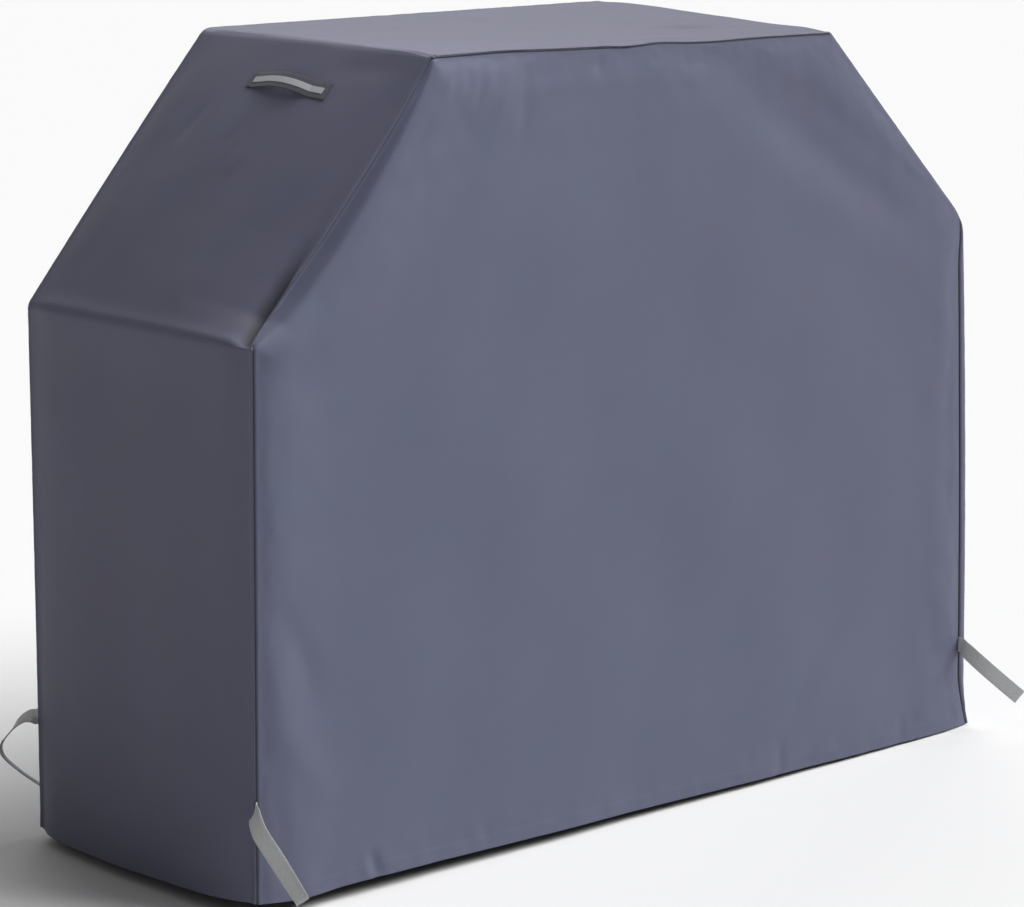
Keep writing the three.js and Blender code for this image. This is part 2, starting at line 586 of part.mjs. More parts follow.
function buildCover() {
  const cover = new THREE.Group();
  const stations = { front: profileStations('front'), back: profileStations('back') };
  cover.add(piece('side_top_band', stripGeometry(stations.front, stations.back), 'strip'));
  for (const end of ENDS) {
    cover.add(piece(`${end}_panel`, panelGeometry(end, seamLine(stations[end], end)), 'panel'));
  }
  for (const side of ['left', 'right']) {
    const webbing = handleStations(stations, side, HANDLE.length, 0);
    const tape = handleStations(stations, side, HANDLE.tapeLength, HANDLE.thickness + HANDLE.gap);
    cover.add(piece(`handle_${side}`, ribbonSolid(webbing, HANDLE.width, HANDLE.thickness), 'webbing'));
    cover.add(piece(`handle_${side}_tape`, ribbonSolid(tape, HANDLE.tape, HANDLE.tapeThickness), 'tape'));
  }
  for (const strap of STRAPS) {
    const route = strapStations(strap, stations[strap.seam]);
    cover.add(piece(strap.name, ribbonSolid(route, STRAP.width, STRAP.thickness), 'strap'));
  }
  return cover;
}

export default buildCover();
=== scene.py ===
"""Fitted barbecue cover of coated polyester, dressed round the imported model.

The band makes both sides, both slopes and the top in one strip. A front and a back panel are sewn to its long
edges. Webbing handles cross the slopes and webbing straps hang from the seams near the hem.
Shapes are worked out in millimetres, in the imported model's frame, and turned to metres as a mesh is made.
"""
import logging
import math
from dataclasses import dataclass, field
from enum import Enum

import bpy
import numpy as np
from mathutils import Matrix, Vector


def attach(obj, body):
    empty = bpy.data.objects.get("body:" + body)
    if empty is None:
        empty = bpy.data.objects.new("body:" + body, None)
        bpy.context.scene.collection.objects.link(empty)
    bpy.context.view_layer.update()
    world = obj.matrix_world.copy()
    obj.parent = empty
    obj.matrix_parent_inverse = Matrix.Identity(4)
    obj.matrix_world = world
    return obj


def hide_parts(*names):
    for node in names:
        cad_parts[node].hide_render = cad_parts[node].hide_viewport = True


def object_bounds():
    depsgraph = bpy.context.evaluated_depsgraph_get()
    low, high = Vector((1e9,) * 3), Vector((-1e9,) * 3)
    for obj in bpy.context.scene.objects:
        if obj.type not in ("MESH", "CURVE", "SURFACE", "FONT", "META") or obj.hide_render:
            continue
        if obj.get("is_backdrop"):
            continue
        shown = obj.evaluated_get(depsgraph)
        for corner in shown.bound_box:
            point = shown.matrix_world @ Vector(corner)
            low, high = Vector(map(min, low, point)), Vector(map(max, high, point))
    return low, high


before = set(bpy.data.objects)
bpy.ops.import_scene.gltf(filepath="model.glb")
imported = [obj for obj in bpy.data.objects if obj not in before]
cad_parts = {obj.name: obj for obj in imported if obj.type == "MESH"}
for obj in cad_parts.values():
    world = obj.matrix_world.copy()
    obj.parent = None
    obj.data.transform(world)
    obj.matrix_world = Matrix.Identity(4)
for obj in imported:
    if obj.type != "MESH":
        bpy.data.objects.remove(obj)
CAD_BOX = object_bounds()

Array = np.ndarray
Arrays = tuple[Array, Array, Array]
Pair = tuple[float, float]
Triple = tuple[float, float, float]

LOG = logging.getLogger("barbecue_cover")
MM = 0.001
TAU = 2 * math.pi


class End(Enum):
    """The two long sides of the cover, with the way that each faces."""

    FRONT = -1
    BACK = 1


class Side(Enum):
    """The two short sides of the cover."""

    LEFT = -1
    RIGHT = 1


# ---- small helpers
def linear(hex_colour: str) -> tuple[float, float, float, float]:
    """Turns an sRGB hex colour to the linear values that a socket takes.

    Args:
        hex_colour: Six hex digits, such as "5e6173".

    Returns:
        Red, green, blue and alpha, linear.
    """
    parts = [int(hex_colour[i:i + 2], 16) / 255 for i in (0, 2, 4)]
    low = [c / 12.92 if c <= 0.04045 else ((c + 0.055) / 1.055) ** 2.4 for c in parts]
    return (*low, 1.0)


def smooth(x: Array, low: float, high: float) -> Array:
    """A soft step: 0 below low, 1 above high."""
    t = np.clip((x - low) / (high - low), 0, 1)
    return t * t * (3 - 2 * t)


def bell(x: Array, width: float) -> Array:
    """A bell curve of height 1 and the given half width."""
    return np.exp(-((x / width) ** 2))


def unit(v: Array) -> Array:
    """Vectors scaled to length 1 along their last axis."""
    return v / np.maximum(np.linalg.norm(v, axis=-1, keepdims=True), 1e-12)


def walk(points: Array) -> Array:
    """Distances from the first of a row of points to each of them, along the row."""
    return np.concatenate([[0], np.cumsum(np.linalg.norm(np.diff(points, axis=0), axis=1))])


def beside(x: Array, z: Array, start: Array, way: Array) -> tuple[Array, Array]:
    """Where points lie beside a straight line.

    Args:
        x: The points' first coordinates, in mm.
        z: Their second coordinates, in mm.
        start: The line's start.
        way: The step from its start to its end.

    Returns:
        Shares of the line at which each point is nearest to it, and distances from there in mm.
    """
    share = np.clip(((x - start[0]) * way[0] + (z - start[1]) * way[1]) / (way @ way), 0, 1)
    return share, np.hypot(x - start[0] - share * way[0], z - start[1] - share * way[1])


def add_object(name: str, data: bpy.types.ID) -> bpy.types.Object:
    """Makes an object from its data and links it to the scene.

    Args:
        name: The new object's name.
        data: Its mesh, curve, camera or light.

    Returns:
        The object, at the origin.
    """
    made = bpy.data.objects.new(name, data)
    bpy.context.scene.collection.objects.link(made)
    return made


@dataclass(frozen=True)
class Unevenness:
    """A soft random relief, the sum of a few waves that run in all directions.

    Attributes:
        height: How far it departs from flat, roughly, in mm.
        length: The waves' middle length, in mm.
        seed: The seed of its random numbers.
        stretch: How much longer the waves are along the second coordinate.
        waves: How many waves are summed.
        spread: The shortest and the longest wave as shares of the middle length.
        peaks: How far the highest peaks stand above the sum's usual height.
    """

    height: float
    length: float
    seed: int
    stretch: float = 1.0
    waves: int = 14
    spread: Pair = (0.6, 1.7)
    peaks: float = 1.6

    def at(self, a: Array, b: Array) -> Array:
        """The relief at the given places.

        Args:
            a: First coordinates, in mm.
            b: Second coordinates, in mm.

        Returns:
            Heights in mm, of the same shape.
        """
        random = np.random.default_rng(self.seed)
        total = np.zeros(np.broadcast(a, b).shape)
        for _ in range(self.waves):
            turn, phase = random.uniform(0, TAU, 2)
            wave = TAU / (self.length * random.uniform(*self.spread))
            total += np.sin(wave * (a * math.cos(turn) + b * math.sin(turn) / self.stretch) + phase)
        return self.height * total / math.sqrt(self.waves / 2) / self.peaks


@dataclass(frozen=True)
class Crease:
    """A fold pressed into a panel along a soft curve through three points.

    Attributes:
        start, over, stop: The curve's two ends and its control point, as (x, z) in mm.
        rise: Height at its crest in mm, below zero for a trough.
        width: Half width in mm.
        sharp: 1 is a soft bell, and more makes the crest narrower with longer flanks.
        end_fade: 0 lets the crease fade out at both ends, and more keeps some of it there.
        pieces: How many straight pieces stand for the curve.
    """

    start: Pair
    over: Pair
    stop: Pair
    rise: float
    width: float
    sharp: float = 1.0
    end_fade: float = 0.1
    pieces: int = 24

    def at(self, x: Array, z: Array) -> Array:
        """How far the crease raises the cloth at (x, z).

        Args:
            x: Places along the cover, in mm.
            z: Heights, in mm.

        Returns:
            Heights of the relief in mm.
        """
        start, over, stop = (np.array(p, float) for p in (self.start, self.over, self.stop))
        steps = np.linspace(0, 1, self.pieces + 1)
        t = steps[:, None]
        line = (1 - t) ** 2 * start + 2 * t * (1 - t) * over + t ** 2 * stop
        best = np.full(x.shape, np.inf)
        along = np.zeros(x.shape)
        for k in range(self.pieces):
            share, away = beside(x, z, line[k], line[k + 1] - line[k])
            nearer = away < best
            best = np.where(nearer, away, best)
            along = np.where(nearer, steps[k] + share / self.pieces, along)
        fade = np.sin(math.pi * (self.end_fade + (1 - 2 * self.end_fade) * along))
        spread = best / self.width
        return self.rise * fade * np.where(self.sharp > 1, np.exp(-spread * self.sharp), np.exp(-spread ** 2))


# ---- the band's profile
@dataclass(frozen=True)
class ProfileFold:
    """A fold of the band's profile and the stretch of cloth after it, in mm.

    Attributes:
        front, back: Where the fold lies at the front and at the back, as (x, z).
        rounding: How far it is rounded along each side, at the front and at the back.
        bulge: How far the band stands out there, halfway across.
        bow: How far the stretch after it bows inwards, at the front and at the back.
        sag: How far that stretch sags at its middle.
        cells: Rows of the stretch.
    """

    front: Pair
    back: Pair
    rounding: Pair
    bulge: float
    bow: Pair = (0, 0)
    sag: float = 0
    cells: int = 0

    def at(self, end: End) -> Array:
        """The fold's place at one end."""
        return np.array(self.front if end is End.FRONT else self.back, float)


FOLDS = (
    # left hem, then the upright left side
    ProfileFold((-739, -1163.5), (-741, -1166.5), (0, 0), 25, (0, 0.5), 0, 92),
    # left shoulder, then the left slope
    ProfileFold((-733, -362), (-740.5, -369), (6, 7), 3, (13, -2.3), 0, 68),
    # left end of the top, then the top
    ProfileFold((-402, 15), (-406, 11.3), (6, 14), 0, (0, 0), 3.6, 108),
    # right end of the top, then the right slope
    ProfileFold((409, -13), (412, -5.7), (6, 10), 0, (0.5, 4), 0, 62),
    # right shoulder, then the upright right side
    ProfileFold((725, -338), (734, -356), (32, 14), 3, (-6.5, 0), 0, 96),
    # right hem
    ProfileFold((753, -1184.5), (748, -1176), (0, 0), 22),
)
TOP = 2  # the top's stretch
UPRIGHT = {Side.LEFT: 0, Side.RIGHT: 4}  # the stretch of each upright side
SLOPE = {Side.LEFT: 1, Side.RIGHT: 3}  # the stretch of each slope
SHOULDER = {Side.LEFT: 1, Side.RIGHT: 4}  # the fold at the foot of each slope
TOP_EDGE = {Side.LEFT: 2, Side.RIGHT: 3}  # the fold at each end of the top
TOP_RIPPLES = ((-270, 2.2, 90), (-20, -1.8, 34), (44, 1.4, 36), (150, -2, 70))  # x, rise, width
FOLD_CELLS = 10  # rows round each fold of the profile

# the hem
HEM_FLARE = 12  # how far the front right corner splays out at the hem
HEM_FLARE_HEIGHT = 95
HEM_DROP = (0.5, 4.5)  # how much lower the sides' hems hang away from the front and the back corners
HEM_EASE = (-4, 26)  # where that begins and where it is full, in mm inwards of the corner's crest
HEM_FOLD = 22.0  # height of the folded strip
HEM_THICK = 0.25  # how far the folded strip stands out
HEM_STEP = (0.6, 1.2)  # where its upper edge begins below its stitching and ends above it
HEM_DENT = (0.12, 1.6)  # depth and half width of the dent along its stitching
HEM_PUCKERED = (2.5, 34)  # how much shorter its puckers are upwards, and how far they reach
HEM_ROWS = (1.2, 3, 6, 10, 15, 19.5, 21.2, 22.8, 25, 29, 35)  # heights of the rows near a hem
STITCHED_ROW = 6  # the row of the stitching, counted from the hem

# the corner between the band and a panel
HALF_DEPTH = 260.0  # from the middle plane to the crest of the front or back corner
CORNER, TOP_CORNER = 6.0, 3.5  # radii of the soft corner along the sides and along the top
HALF_TURN = math.sqrt(0.5)  # the crest lies where the corner has turned by half
FLAT_EDGE = 249.4  # the band is flat from here inwards
FACE = 4.4  # how far the flat cloth stands out from the crest
EASE = 60.0  # how far from a corner the cloth stands out in full
SEAM_GAP = 0.3
CLOTH = 1.3  # thickness of the cloth as it shows
GROOVE = (2.0, 1.8)  # depth and half width of a seam's groove
GROOVE_DARK, GROOVE_SHADED = 0.7, 1.9  # half width of the painted shade line in its groove, and how far that painted shade fades out beside it
RIDGE = (0.9, 4.4, 2.2)  # height, place and half width of the allowance's ridge beside it
PUCKER_SQUEEZE = 4  # how much shorter a seam's puckers are across it than along it
PUCKER_STARTS, PUCKER_ENDS = (0, 5), (15, 60)  # distances from the seam over which they set in and die out
TOP_SLIP = 0.8  # how far the top's seam lies towards the panel's face: 1 is all the way round
TOP_CALM = 0.8  # the share of the panel's groove that the top's seam goes without

# the right seam at the front, which has slipped forwards, so that the band runs onto the front there
WRAP = 11.0  # how far it runs onto the front
SLIPS_FORWARD = ((-1184, 0.3), (-1100, 0.95), (-950, 1), (-620, 1), (-400, 0.85), (-352, 0.4), (-334, 0))

# the left slope at the front, onto which the front panel wraps
WRAPPED_PART = (-398, -364)  # the slope lies left of this x and above this height
# Height, how far the seam lies behind the corner and below the straight slope, the corner's radius, and the
# half width and height of the seam's ridge
WRAPPED = np.array((
    (-364, 0, 0, 6, 2.5, 1.7), (-347, 9, 4.5, 9, 2.5, 1.5), (-323, 21, 11.5, 11, 2.5, 1.5),
    (-285, 25, 13.2, 8, 3.2, 1.7), (-233, 24, 14.5, 7, 5, 2.4), (-168, 20, 13, 6, 8, 4),
    (-104, 14, 11.5, 5, 8, 4), (-52, 8, 9, 4.5, 4, 2.4), (-13, 5.5, 6, 4, 3, 1.7), (15, 2, 1, 3.5, 2.5, 1.7),
))
FULL_WRAP = 7.0  # where the seam lies further behind the corner than this, the band is flat at it
SLIP_STARTS = 150.0  # the band's columns follow the seam's slip from this far off the middle plane
SINK_REACH = 190.0  # the slope has its straight line again this far from the seam
LEAN = 8.0  # how much steeper than the slope the panel's turned strip is
SEAM_STEP = 3.0  # the slope's edge stands this far above the panel's turned strip
STEP_STARTS = (-350, -300)  # heights over which that step sets in
WRAP_MARK = 1.2  # added to the turned strip's distance from the seam, it makes the groove's painted shade line finer
SLOPE_TROUGH = 15.0  # depth of the fold that the slope's cloth makes beside the seam, low on the slope
TROUGH_STARTS, TROUGH_ENDS = (-370, -352), (-326, -215)  # heights over which it sets in and dies out
FOLD_AT, FOLD_WIDE = 16.0, (9.0, 15.0)  # its middle's distance from the seam, and its half widths to both sides
FOLD_SHADE = 0.85  # how near the painted shade at its bottom comes to the painted shade of a seam's groove
FOLD_SPREAD = 1.3  # how much wider than its deepest part that painted shade is
UNMARKED = 3.0  # added to a distance from the seam, it leaves out the painted shade line of the groove


def near_hem(point: Array) -> Array:
    """How near points of the profile are to their hem: 1 at the hem, 0 from the top of the flare upwards."""
    hem = np.where(point[..., 0] < 0, FOLDS[0].front[1], FOLDS[-1].front[1])
    return np.clip(1 - (point[..., 1] - hem) / HEM_FLARE_HEIGHT, 0, None) ** 2


def shoulder_at(side: Side) -> Array:
    """A shoulder's place halfway between the front and the back, as (x, z) in mm."""
    fold = FOLDS[SHOULDER[side]]
    return (fold.at(End.FRONT) + fold.at(End.BACK)) / 2


def stand_out(point: Array, out: Array, rise: Array, y: Array) -> Array:
    """Points (x, z) of a profile, moved outwards by a rise and placed at y."""
    return np.stack([point[:, 0] + out[:, 0] * rise, y, point[:, 1] + out[:, 1] * rise], 1)


class Profile:
    """The band's outline at one end, from the left hem over the top to the right hem.

    Attributes:
        end: Which end of the cover.
        k: Its place in pairs of values, 0 at the front and 1 at the back.
        corner: The two stations at which a slope turns into the top.

        The others hold one row or value, in mm, for each station:
        points: Its (x, z).
        outs: The outward direction.
        stretch: The index of the stretch that it is on.
        walked: Distance from the left hem.
        slip, sunk: How far behind the corner and below the straight slope the seam lies.
        ridge, ridge_height: Half width and height of the ridge at the seam where the panel wraps.
        radius, bend: Radii of the band's and of the panel's corner.
        wrap: 1 where the panel makes the whole corner.
        calm: 1 where the panel has no groove at its seam.
        first: The angle at which the band's corner starts, from 0 on the panel's face to a right angle.
        flat: How far the band runs onto the panel's face.
        tail: How far the band is straight between its corner and its flat part.
        trough: 1 where the slope's cloth has its fold beside the seam.
    """

    def __init__(self, end: End) -> None:
        """Lays the stations out.

        Args:
            end: The end of the cover that the profile is for.
        """
        self.end = end
        self.k = 0 if end is End.FRONT else 1
        points: list[Array] = []
        stretch: list[int] = []
        self.corner: list[int] = []
        lengths = [np.linalg.norm(b.at(end) - a.at(end)) for a, b in zip(FOLDS, FOLDS[1:])]
        for i, (fold, after) in enumerate(zip(FOLDS, FOLDS[1:])):
            start = fold.rounding[self.k] / lengths[i]
            stop = 1 - after.rounding[self.k] / lengths[i]
            fractions = np.linspace(start, stop, fold.cells + 1)
            if i == 0:
                hem = np.array(HEM_ROWS) / lengths[i]
                fractions = np.concatenate([[0], hem, np.linspace(hem[-1], stop, fold.cells + 1)[1:]])
            elif i == len(FOLDS) - 2:
                hem = 1 - np.array(HEM_ROWS[::-1]) / lengths[i]
                fractions = np.concatenate([np.linspace(start, hem[0], fold.cells + 1)[:-1], hem, [1]])
            points += [self._on_stretch(i, f) for f in fractions]
            stretch += [i] * len(fractions)
            if i == len(FOLDS) - 2:
                break
            before, beyond = points[-1], self._on_stretch(i + 1, after.rounding[self.k] / lengths[i + 1])
            turn = after.at(end)
            if i + 1 in TOP_EDGE.values():
                self.corner.append(len(points) + FOLD_CELLS // 2 - 1)
            for t in np.arange(1, FOLD_CELLS) / FOLD_CELLS:
                points.append((1 - t) ** 2 * before + 2 * t * (1 - t) * turn + t * t * beyond)
                stretch.append(i if t < 0.5 else i + 1)
        self.points = np.array(points)
        if end is End.FRONT:
            right = self.points[:, 0] > 0
            self.points[right, 0] += HEM_FLARE * near_hem(self.points[right])
        self.stretch = np.array(stretch)
        ahead = np.roll(self.points, -1, 0)
        behind = np.roll(self.points, 1, 0)
        ahead[-1], behind[0] = self.points[-1], self.points[0]
        step = ahead - behind
        self.outs = unit(np.stack([-step[:, 1], step[:, 0]], 1))
        self.walked = walk(self.points)
        x, z = self.points.T
        forward = np.where((x > 0) & (end is End.FRONT), np.interp(z, *zip(*SLIPS_FORWARD)), 0)
        left_slope = (x < WRAPPED_PART[0]) & (z > WRAPPED_PART[1]) & (end is End.FRONT)
        columns = (np.interp(z, WRAPPED[:, 0], column) for column in WRAPPED[:, 1:].T)
        self.slip, self.sunk, bend, self.ridge, self.ridge_height = columns
        self.slip, self.sunk = np.where(left_slope, self.slip, 0), np.where(left_slope, self.sunk, 0)
        self.wrap = np.clip(self.slip / FULL_WRAP, 0, 1)
        self.radius = np.where(self.stretch == TOP, TOP_CORNER, CORNER)
        self.bend = np.where(left_slope, bend, self.radius)
        self.calm = np.where(self.stretch == TOP, TOP_CALM, self.wrap)
        self.first = math.pi / 4 * (1 + self.wrap - np.where(self.stretch == TOP, TOP_SLIP, forward))
        self.flat = WRAP * forward
        self.tail = HALF_DEPTH - self.radius * HALF_TURN - FLAT_EDGE
        self.trough = np.where(left_slope, smooth(z, *TROUGH_STARTS) * (1 - smooth(z, *TROUGH_ENDS)), 0)

    def _on_stretch(self, i: int, f: float) -> Array:
        """A point of a stretch, bowed as the cloth hangs.

        Args:
            i: The stretch.
            f: How far along it the point lies, from 0 to 1.

        Returns:
            The point as (x, z) in mm.
        """
        a, b = FOLDS[i].at(self.end), FOLDS[i + 1].at(self.end)
        way = unit(b - a)
        point = a + (b - a) * f + np.array([way[1], -way[0]]) * FOLDS[i].bow[self.k] * 4 * f * (1 - f)
        if i == TOP and self.end is End.FRONT:
            point[1] += sum(rise * bell(point[0] - x, width) for x, rise, width in TOP_RIPPLES)
        return point

    def above_hem(self) -> Array:
        """Each station's distance from the nearer hem, along the band."""
        return np.minimum(self.walked, self.walked[-1] - self.walked)

    def corner_at(self, c: float, gap: float = 0.0) -> Arrays:
        """The band's soft corner.

        Args:
            c: 0 at the seam, 1 where the band is flat.
            gap: Distance in mm that the points keep from the seam.

        Returns:
            Positions, normals, and distances from the seam, one row for each station.
        """
        walked = c * (self.arc() + self.tail) - self.flat + gap
        turned = np.clip(walked, 0, self.arc() - self.flat)
        angle = self.first + turned / self.radius
        rise = self.radius * (np.sin(angle) - HALF_TURN) + np.minimum(walked, 0) - self.sunk
        level = np.maximum(walked, 0) - turned
        y = self.end.value * (HALF_DEPTH + self.radius * (np.cos(angle) - HALF_TURN) - level - self.slip)
        position = stand_out(self.points, self.outs, rise, y)
        sin = np.sin(angle)
        normal = np.stack([self.outs[:, 0] * sin, self.end.value * np.cos(angle), self.outs[:, 1] * sin], 1)
        return position, normal, walked + self.flat

    def arc(self) -> Array:
        """How much of the band lies between the seam and the flat cloth at each station."""
        return self.flat + self.radius * (math.pi / 2 - self.first)

    def edge_relief(self, seam: Array) -> Array:
        """The seam's groove, the ridge of its allowance, and the fold of the slope's cloth beside it.

        Args:
            seam: Each station's distance from the seam in mm.

        Returns:
            Relief in mm.
        """
        plain = RIDGE[0] * bell(seam - RIDGE[1], RIDGE[2]) - GROOVE[0] * bell(seam, GROOVE[1])
        wrapped = self.ridge_height * seam / self.ridge * np.exp(1 - seam / self.ridge)
        return plain * (1 - self.wrap) + wrapped * self.wrap - SLOPE_TROUGH * self.fold(seam)

    def fold(self, seam: Array) -> Array:
        """How deep each station lies in the fold beside the left slope's seam, 1 at its deepest."""
        return self.trough * bell(seam - FOLD_AT, np.where(seam < FOLD_AT, *FOLD_WIDE))

    def mark(self, seam: Array) -> Array:
        """The distance from the seam that the cloth's painted shade line is drawn by, with painted shade in the
        fold beside the left slope's seam.

        Args:
            seam: Each station's distance from the seam in mm.

        Returns:
            The distance in mm: past the painted shade line where the seam has a ridge, and within it in the
                fold, so that the fold is painted with shade.
        """
        away = seam + UNMARKED * self.wrap
        shaded = GROOVE_DARK + GROOVE_SHADED * (1 - FOLD_SHADE * np.clip(FOLD_SPREAD * self.fold(seam), 0, 1))
        return np.where(self.trough > 0, np.minimum(away, shaded), away)


# ---- meshes
def lay_cloth(mesh: bpy.types.Mesh, flat: Array) -> None:
    """Gives a mesh its place on the flat cloth as a UV map.

    Args:
        mesh: The mesh.
        flat: Each vertex's place on the flat cloth in metres, one row for each vertex.
    """
    corner = np.zeros(len(mesh.loops), int)
    mesh.loops.foreach_get("vertex_index", corner)
    mesh.uv_layers.new(name="cloth").data.foreach_set("uv", flat[corner].ravel())


def sheet_object(name: str, grid: Array, flat: Array, seam: Array, normals: Array) -> bpy.types.Object:
    """Makes a thin closed sheet from the grid of its outer points.

    Args:
        name: The new object's name.
        grid: Outer points in mm, rows by columns by 3.
        flat: Each point's place on the flat cloth in mm, rows by columns by 2.
        seam: Each point's distance from the nearest seam in mm, by which the painted shade of the seam's groove
            and fold is drawn, rows by columns.
        normals: Outward directions, rows by columns by 3.

    Returns:
        The object, with its outer faces on the first material slot and the others on the second.
    """
    rows, columns = grid.shape[:2]
    found = np.cross(np.gradient(grid, axis=1), np.gradient(grid, axis=0))
    flip = found[rows // 2, columns // 2] @ normals[rows // 2, columns // 2] < 0
    points = np.concatenate([grid.reshape(-1, 3), (grid - normals * CLOTH).reshape(-1, 3)]) * MM
    index = np.arange(rows * columns).reshape(rows, columns)
    quads = np.stack([index[:-1, :-1], index[:-1, 1:], index[1:, 1:], index[1:, :-1]], -1).reshape(-1, 4)
    inner = quads[:, ::-1] + rows * columns
    ring = np.concatenate([index[0, :-1], index[:-1, -1], index[-1, :0:-1], index[:0:-1, 0]])
    following = np.roll(ring, -1)
    edge = np.stack([ring, ring + rows * columns, following + rows * columns, following], 1)
    faces = np.concatenate([quads, inner, edge])
    if flip:
        faces = faces[:, ::-1]
    mesh = bpy.data.meshes.new(name)
    mesh.from_pydata(points.tolist(), [], faces.tolist())
    mesh.polygons.foreach_set("material_index", np.repeat([0, 1], [len(quads), len(inner) + len(edge)]))
    mesh.polygons.foreach_set("use_smooth", np.ones(len(faces), bool))
    lay_cloth(mesh, np.concatenate([flat.reshape(-1, 2)] * 2) * MM)
    # the distance by which the painted shade of the seam's groove and fold is drawn
    distance = mesh.attributes.new("seam_shade_mm", "FLOAT", "POINT")
    distance.data.foreach_set("value", np.concatenate([seam.ravel()] * 2))
    mesh.validate()
    return add_object(name, mesh)


# ---- the band
PUCKER = Unevenness(0.22, 30, 11, 3)
HEM_PUCKER = Unevenness(0.4, 46, 12, 3)
BAND_RELIEF = Unevenness(1.5, 260, 21)
BAND_RIPPLE = Unevenness(0.14, 80, 22)
TOP_RELIEF = 0.55  # the share of the band's relief that its top has
INSIDE = (0, 45)  # distances from the corner's inner edge over which the band's relief sets in
BULGE_EDGE = (-18, 20)  # the same for its bulge, which begins on the corner
BULGE_POWER, SAG_POWER = 4, 6  # the higher, the fuller the bulge and the sag stay towards the corners
SHOULDER_RIDGE = (3.0, 13, 60)  # height of the ridge along the shoulder's fold, and its half widths up and down
RIDGE_GROWS = (0.7, 0.3)  # the share of that height at the front, and what the back has more
SLOPE_CROWN = {Side.LEFT: 11.0, Side.RIGHT: 0.0}  # how far each slope stands out halfway up
CROWN_LENGTH = 500.0  # length of the slope under that crown
# Hollows of the slopes: distance up from the shoulder, y, rise, half length and half width
SLOPE_HOLLOWS = {Side.LEFT: (), Side.RIGHT: ((80, 215, -7, 60, 30),)}
# Creases of the slopes, as (y, distance up)
SLOPE_CREASES = {
    Side.LEFT: (
        Crease((148, 300), (140, 335), (132, 370), -1.6, 9),
        Crease((44, 298), (36, 322), (24, 348), -1.3, 8),
        Crease((4, 255), (0, 280), (-6, 306), 1.2, 9),
        Crease((200, 20), (180, 90), (165, 170), -2.4, 40),
        Crease((-225, 500), (-170, 470), (-90, 462), -1.8, 20),
        Crease((60, 60), (-40, 120), (-150, 210), -1.4, 50),
    ),
    Side.RIGHT: (
        Crease((-120, 320), (-100, 250), (-60, 160), -1.6, 14),
        Crease((90, 400), (60, 330), (70, 240), -1.4, 12),
        Crease((-200, 60), (-160, 120), (-150, 200), -2.0, 32),
    ),
}
# Creases of the top, as (x, y)
TOP_CREASES = (
    Crease((6, 150), (28, 126), (56, 98), 2.0, 8),
    Crease((-60, -252), (0, -236), (66, -240), -3.0, 9),
    Crease((30, -226), (90, -214), (150, -222), 1.6, 12),
    Crease((190, -88), (236, -122), (286, -160), -3.6, 8),
    Crease((214, -76), (262, -112), (318, -140), 3.0, 9),
    Crease((300, -170), (336, -196), (372, -206), -2.6, 12),
    Crease((272, 165), (252, 110), (236, 60), 2.0, 9),
    Crease((-330, -120), (-300, -40), (-320, 70), -1.4, 22),
)
# Creases of the upright sides, as (y, z)
SIDE_CREASES = {
    Side.LEFT: (
        Crease((-150, -400), (-120, -620), (-170, -900), -2.0, 60),
        Crease((120, -420), (150, -700), (110, -1000), 1.8, 60),
        Crease((-235, -980), (-170, -1060), (-60, -1120), -1.8, 26),
    ),
    Side.RIGHT: (
        Crease((140, -400), (90, -620), (150, -900), -2.2, 55),
        Crease((-140, -420), (-150, -700), (-90, -1020), 2.0, 60),
        Crease((215, -900), (150, -1040), (60, -1110), -2.0, 28),
    ),
}


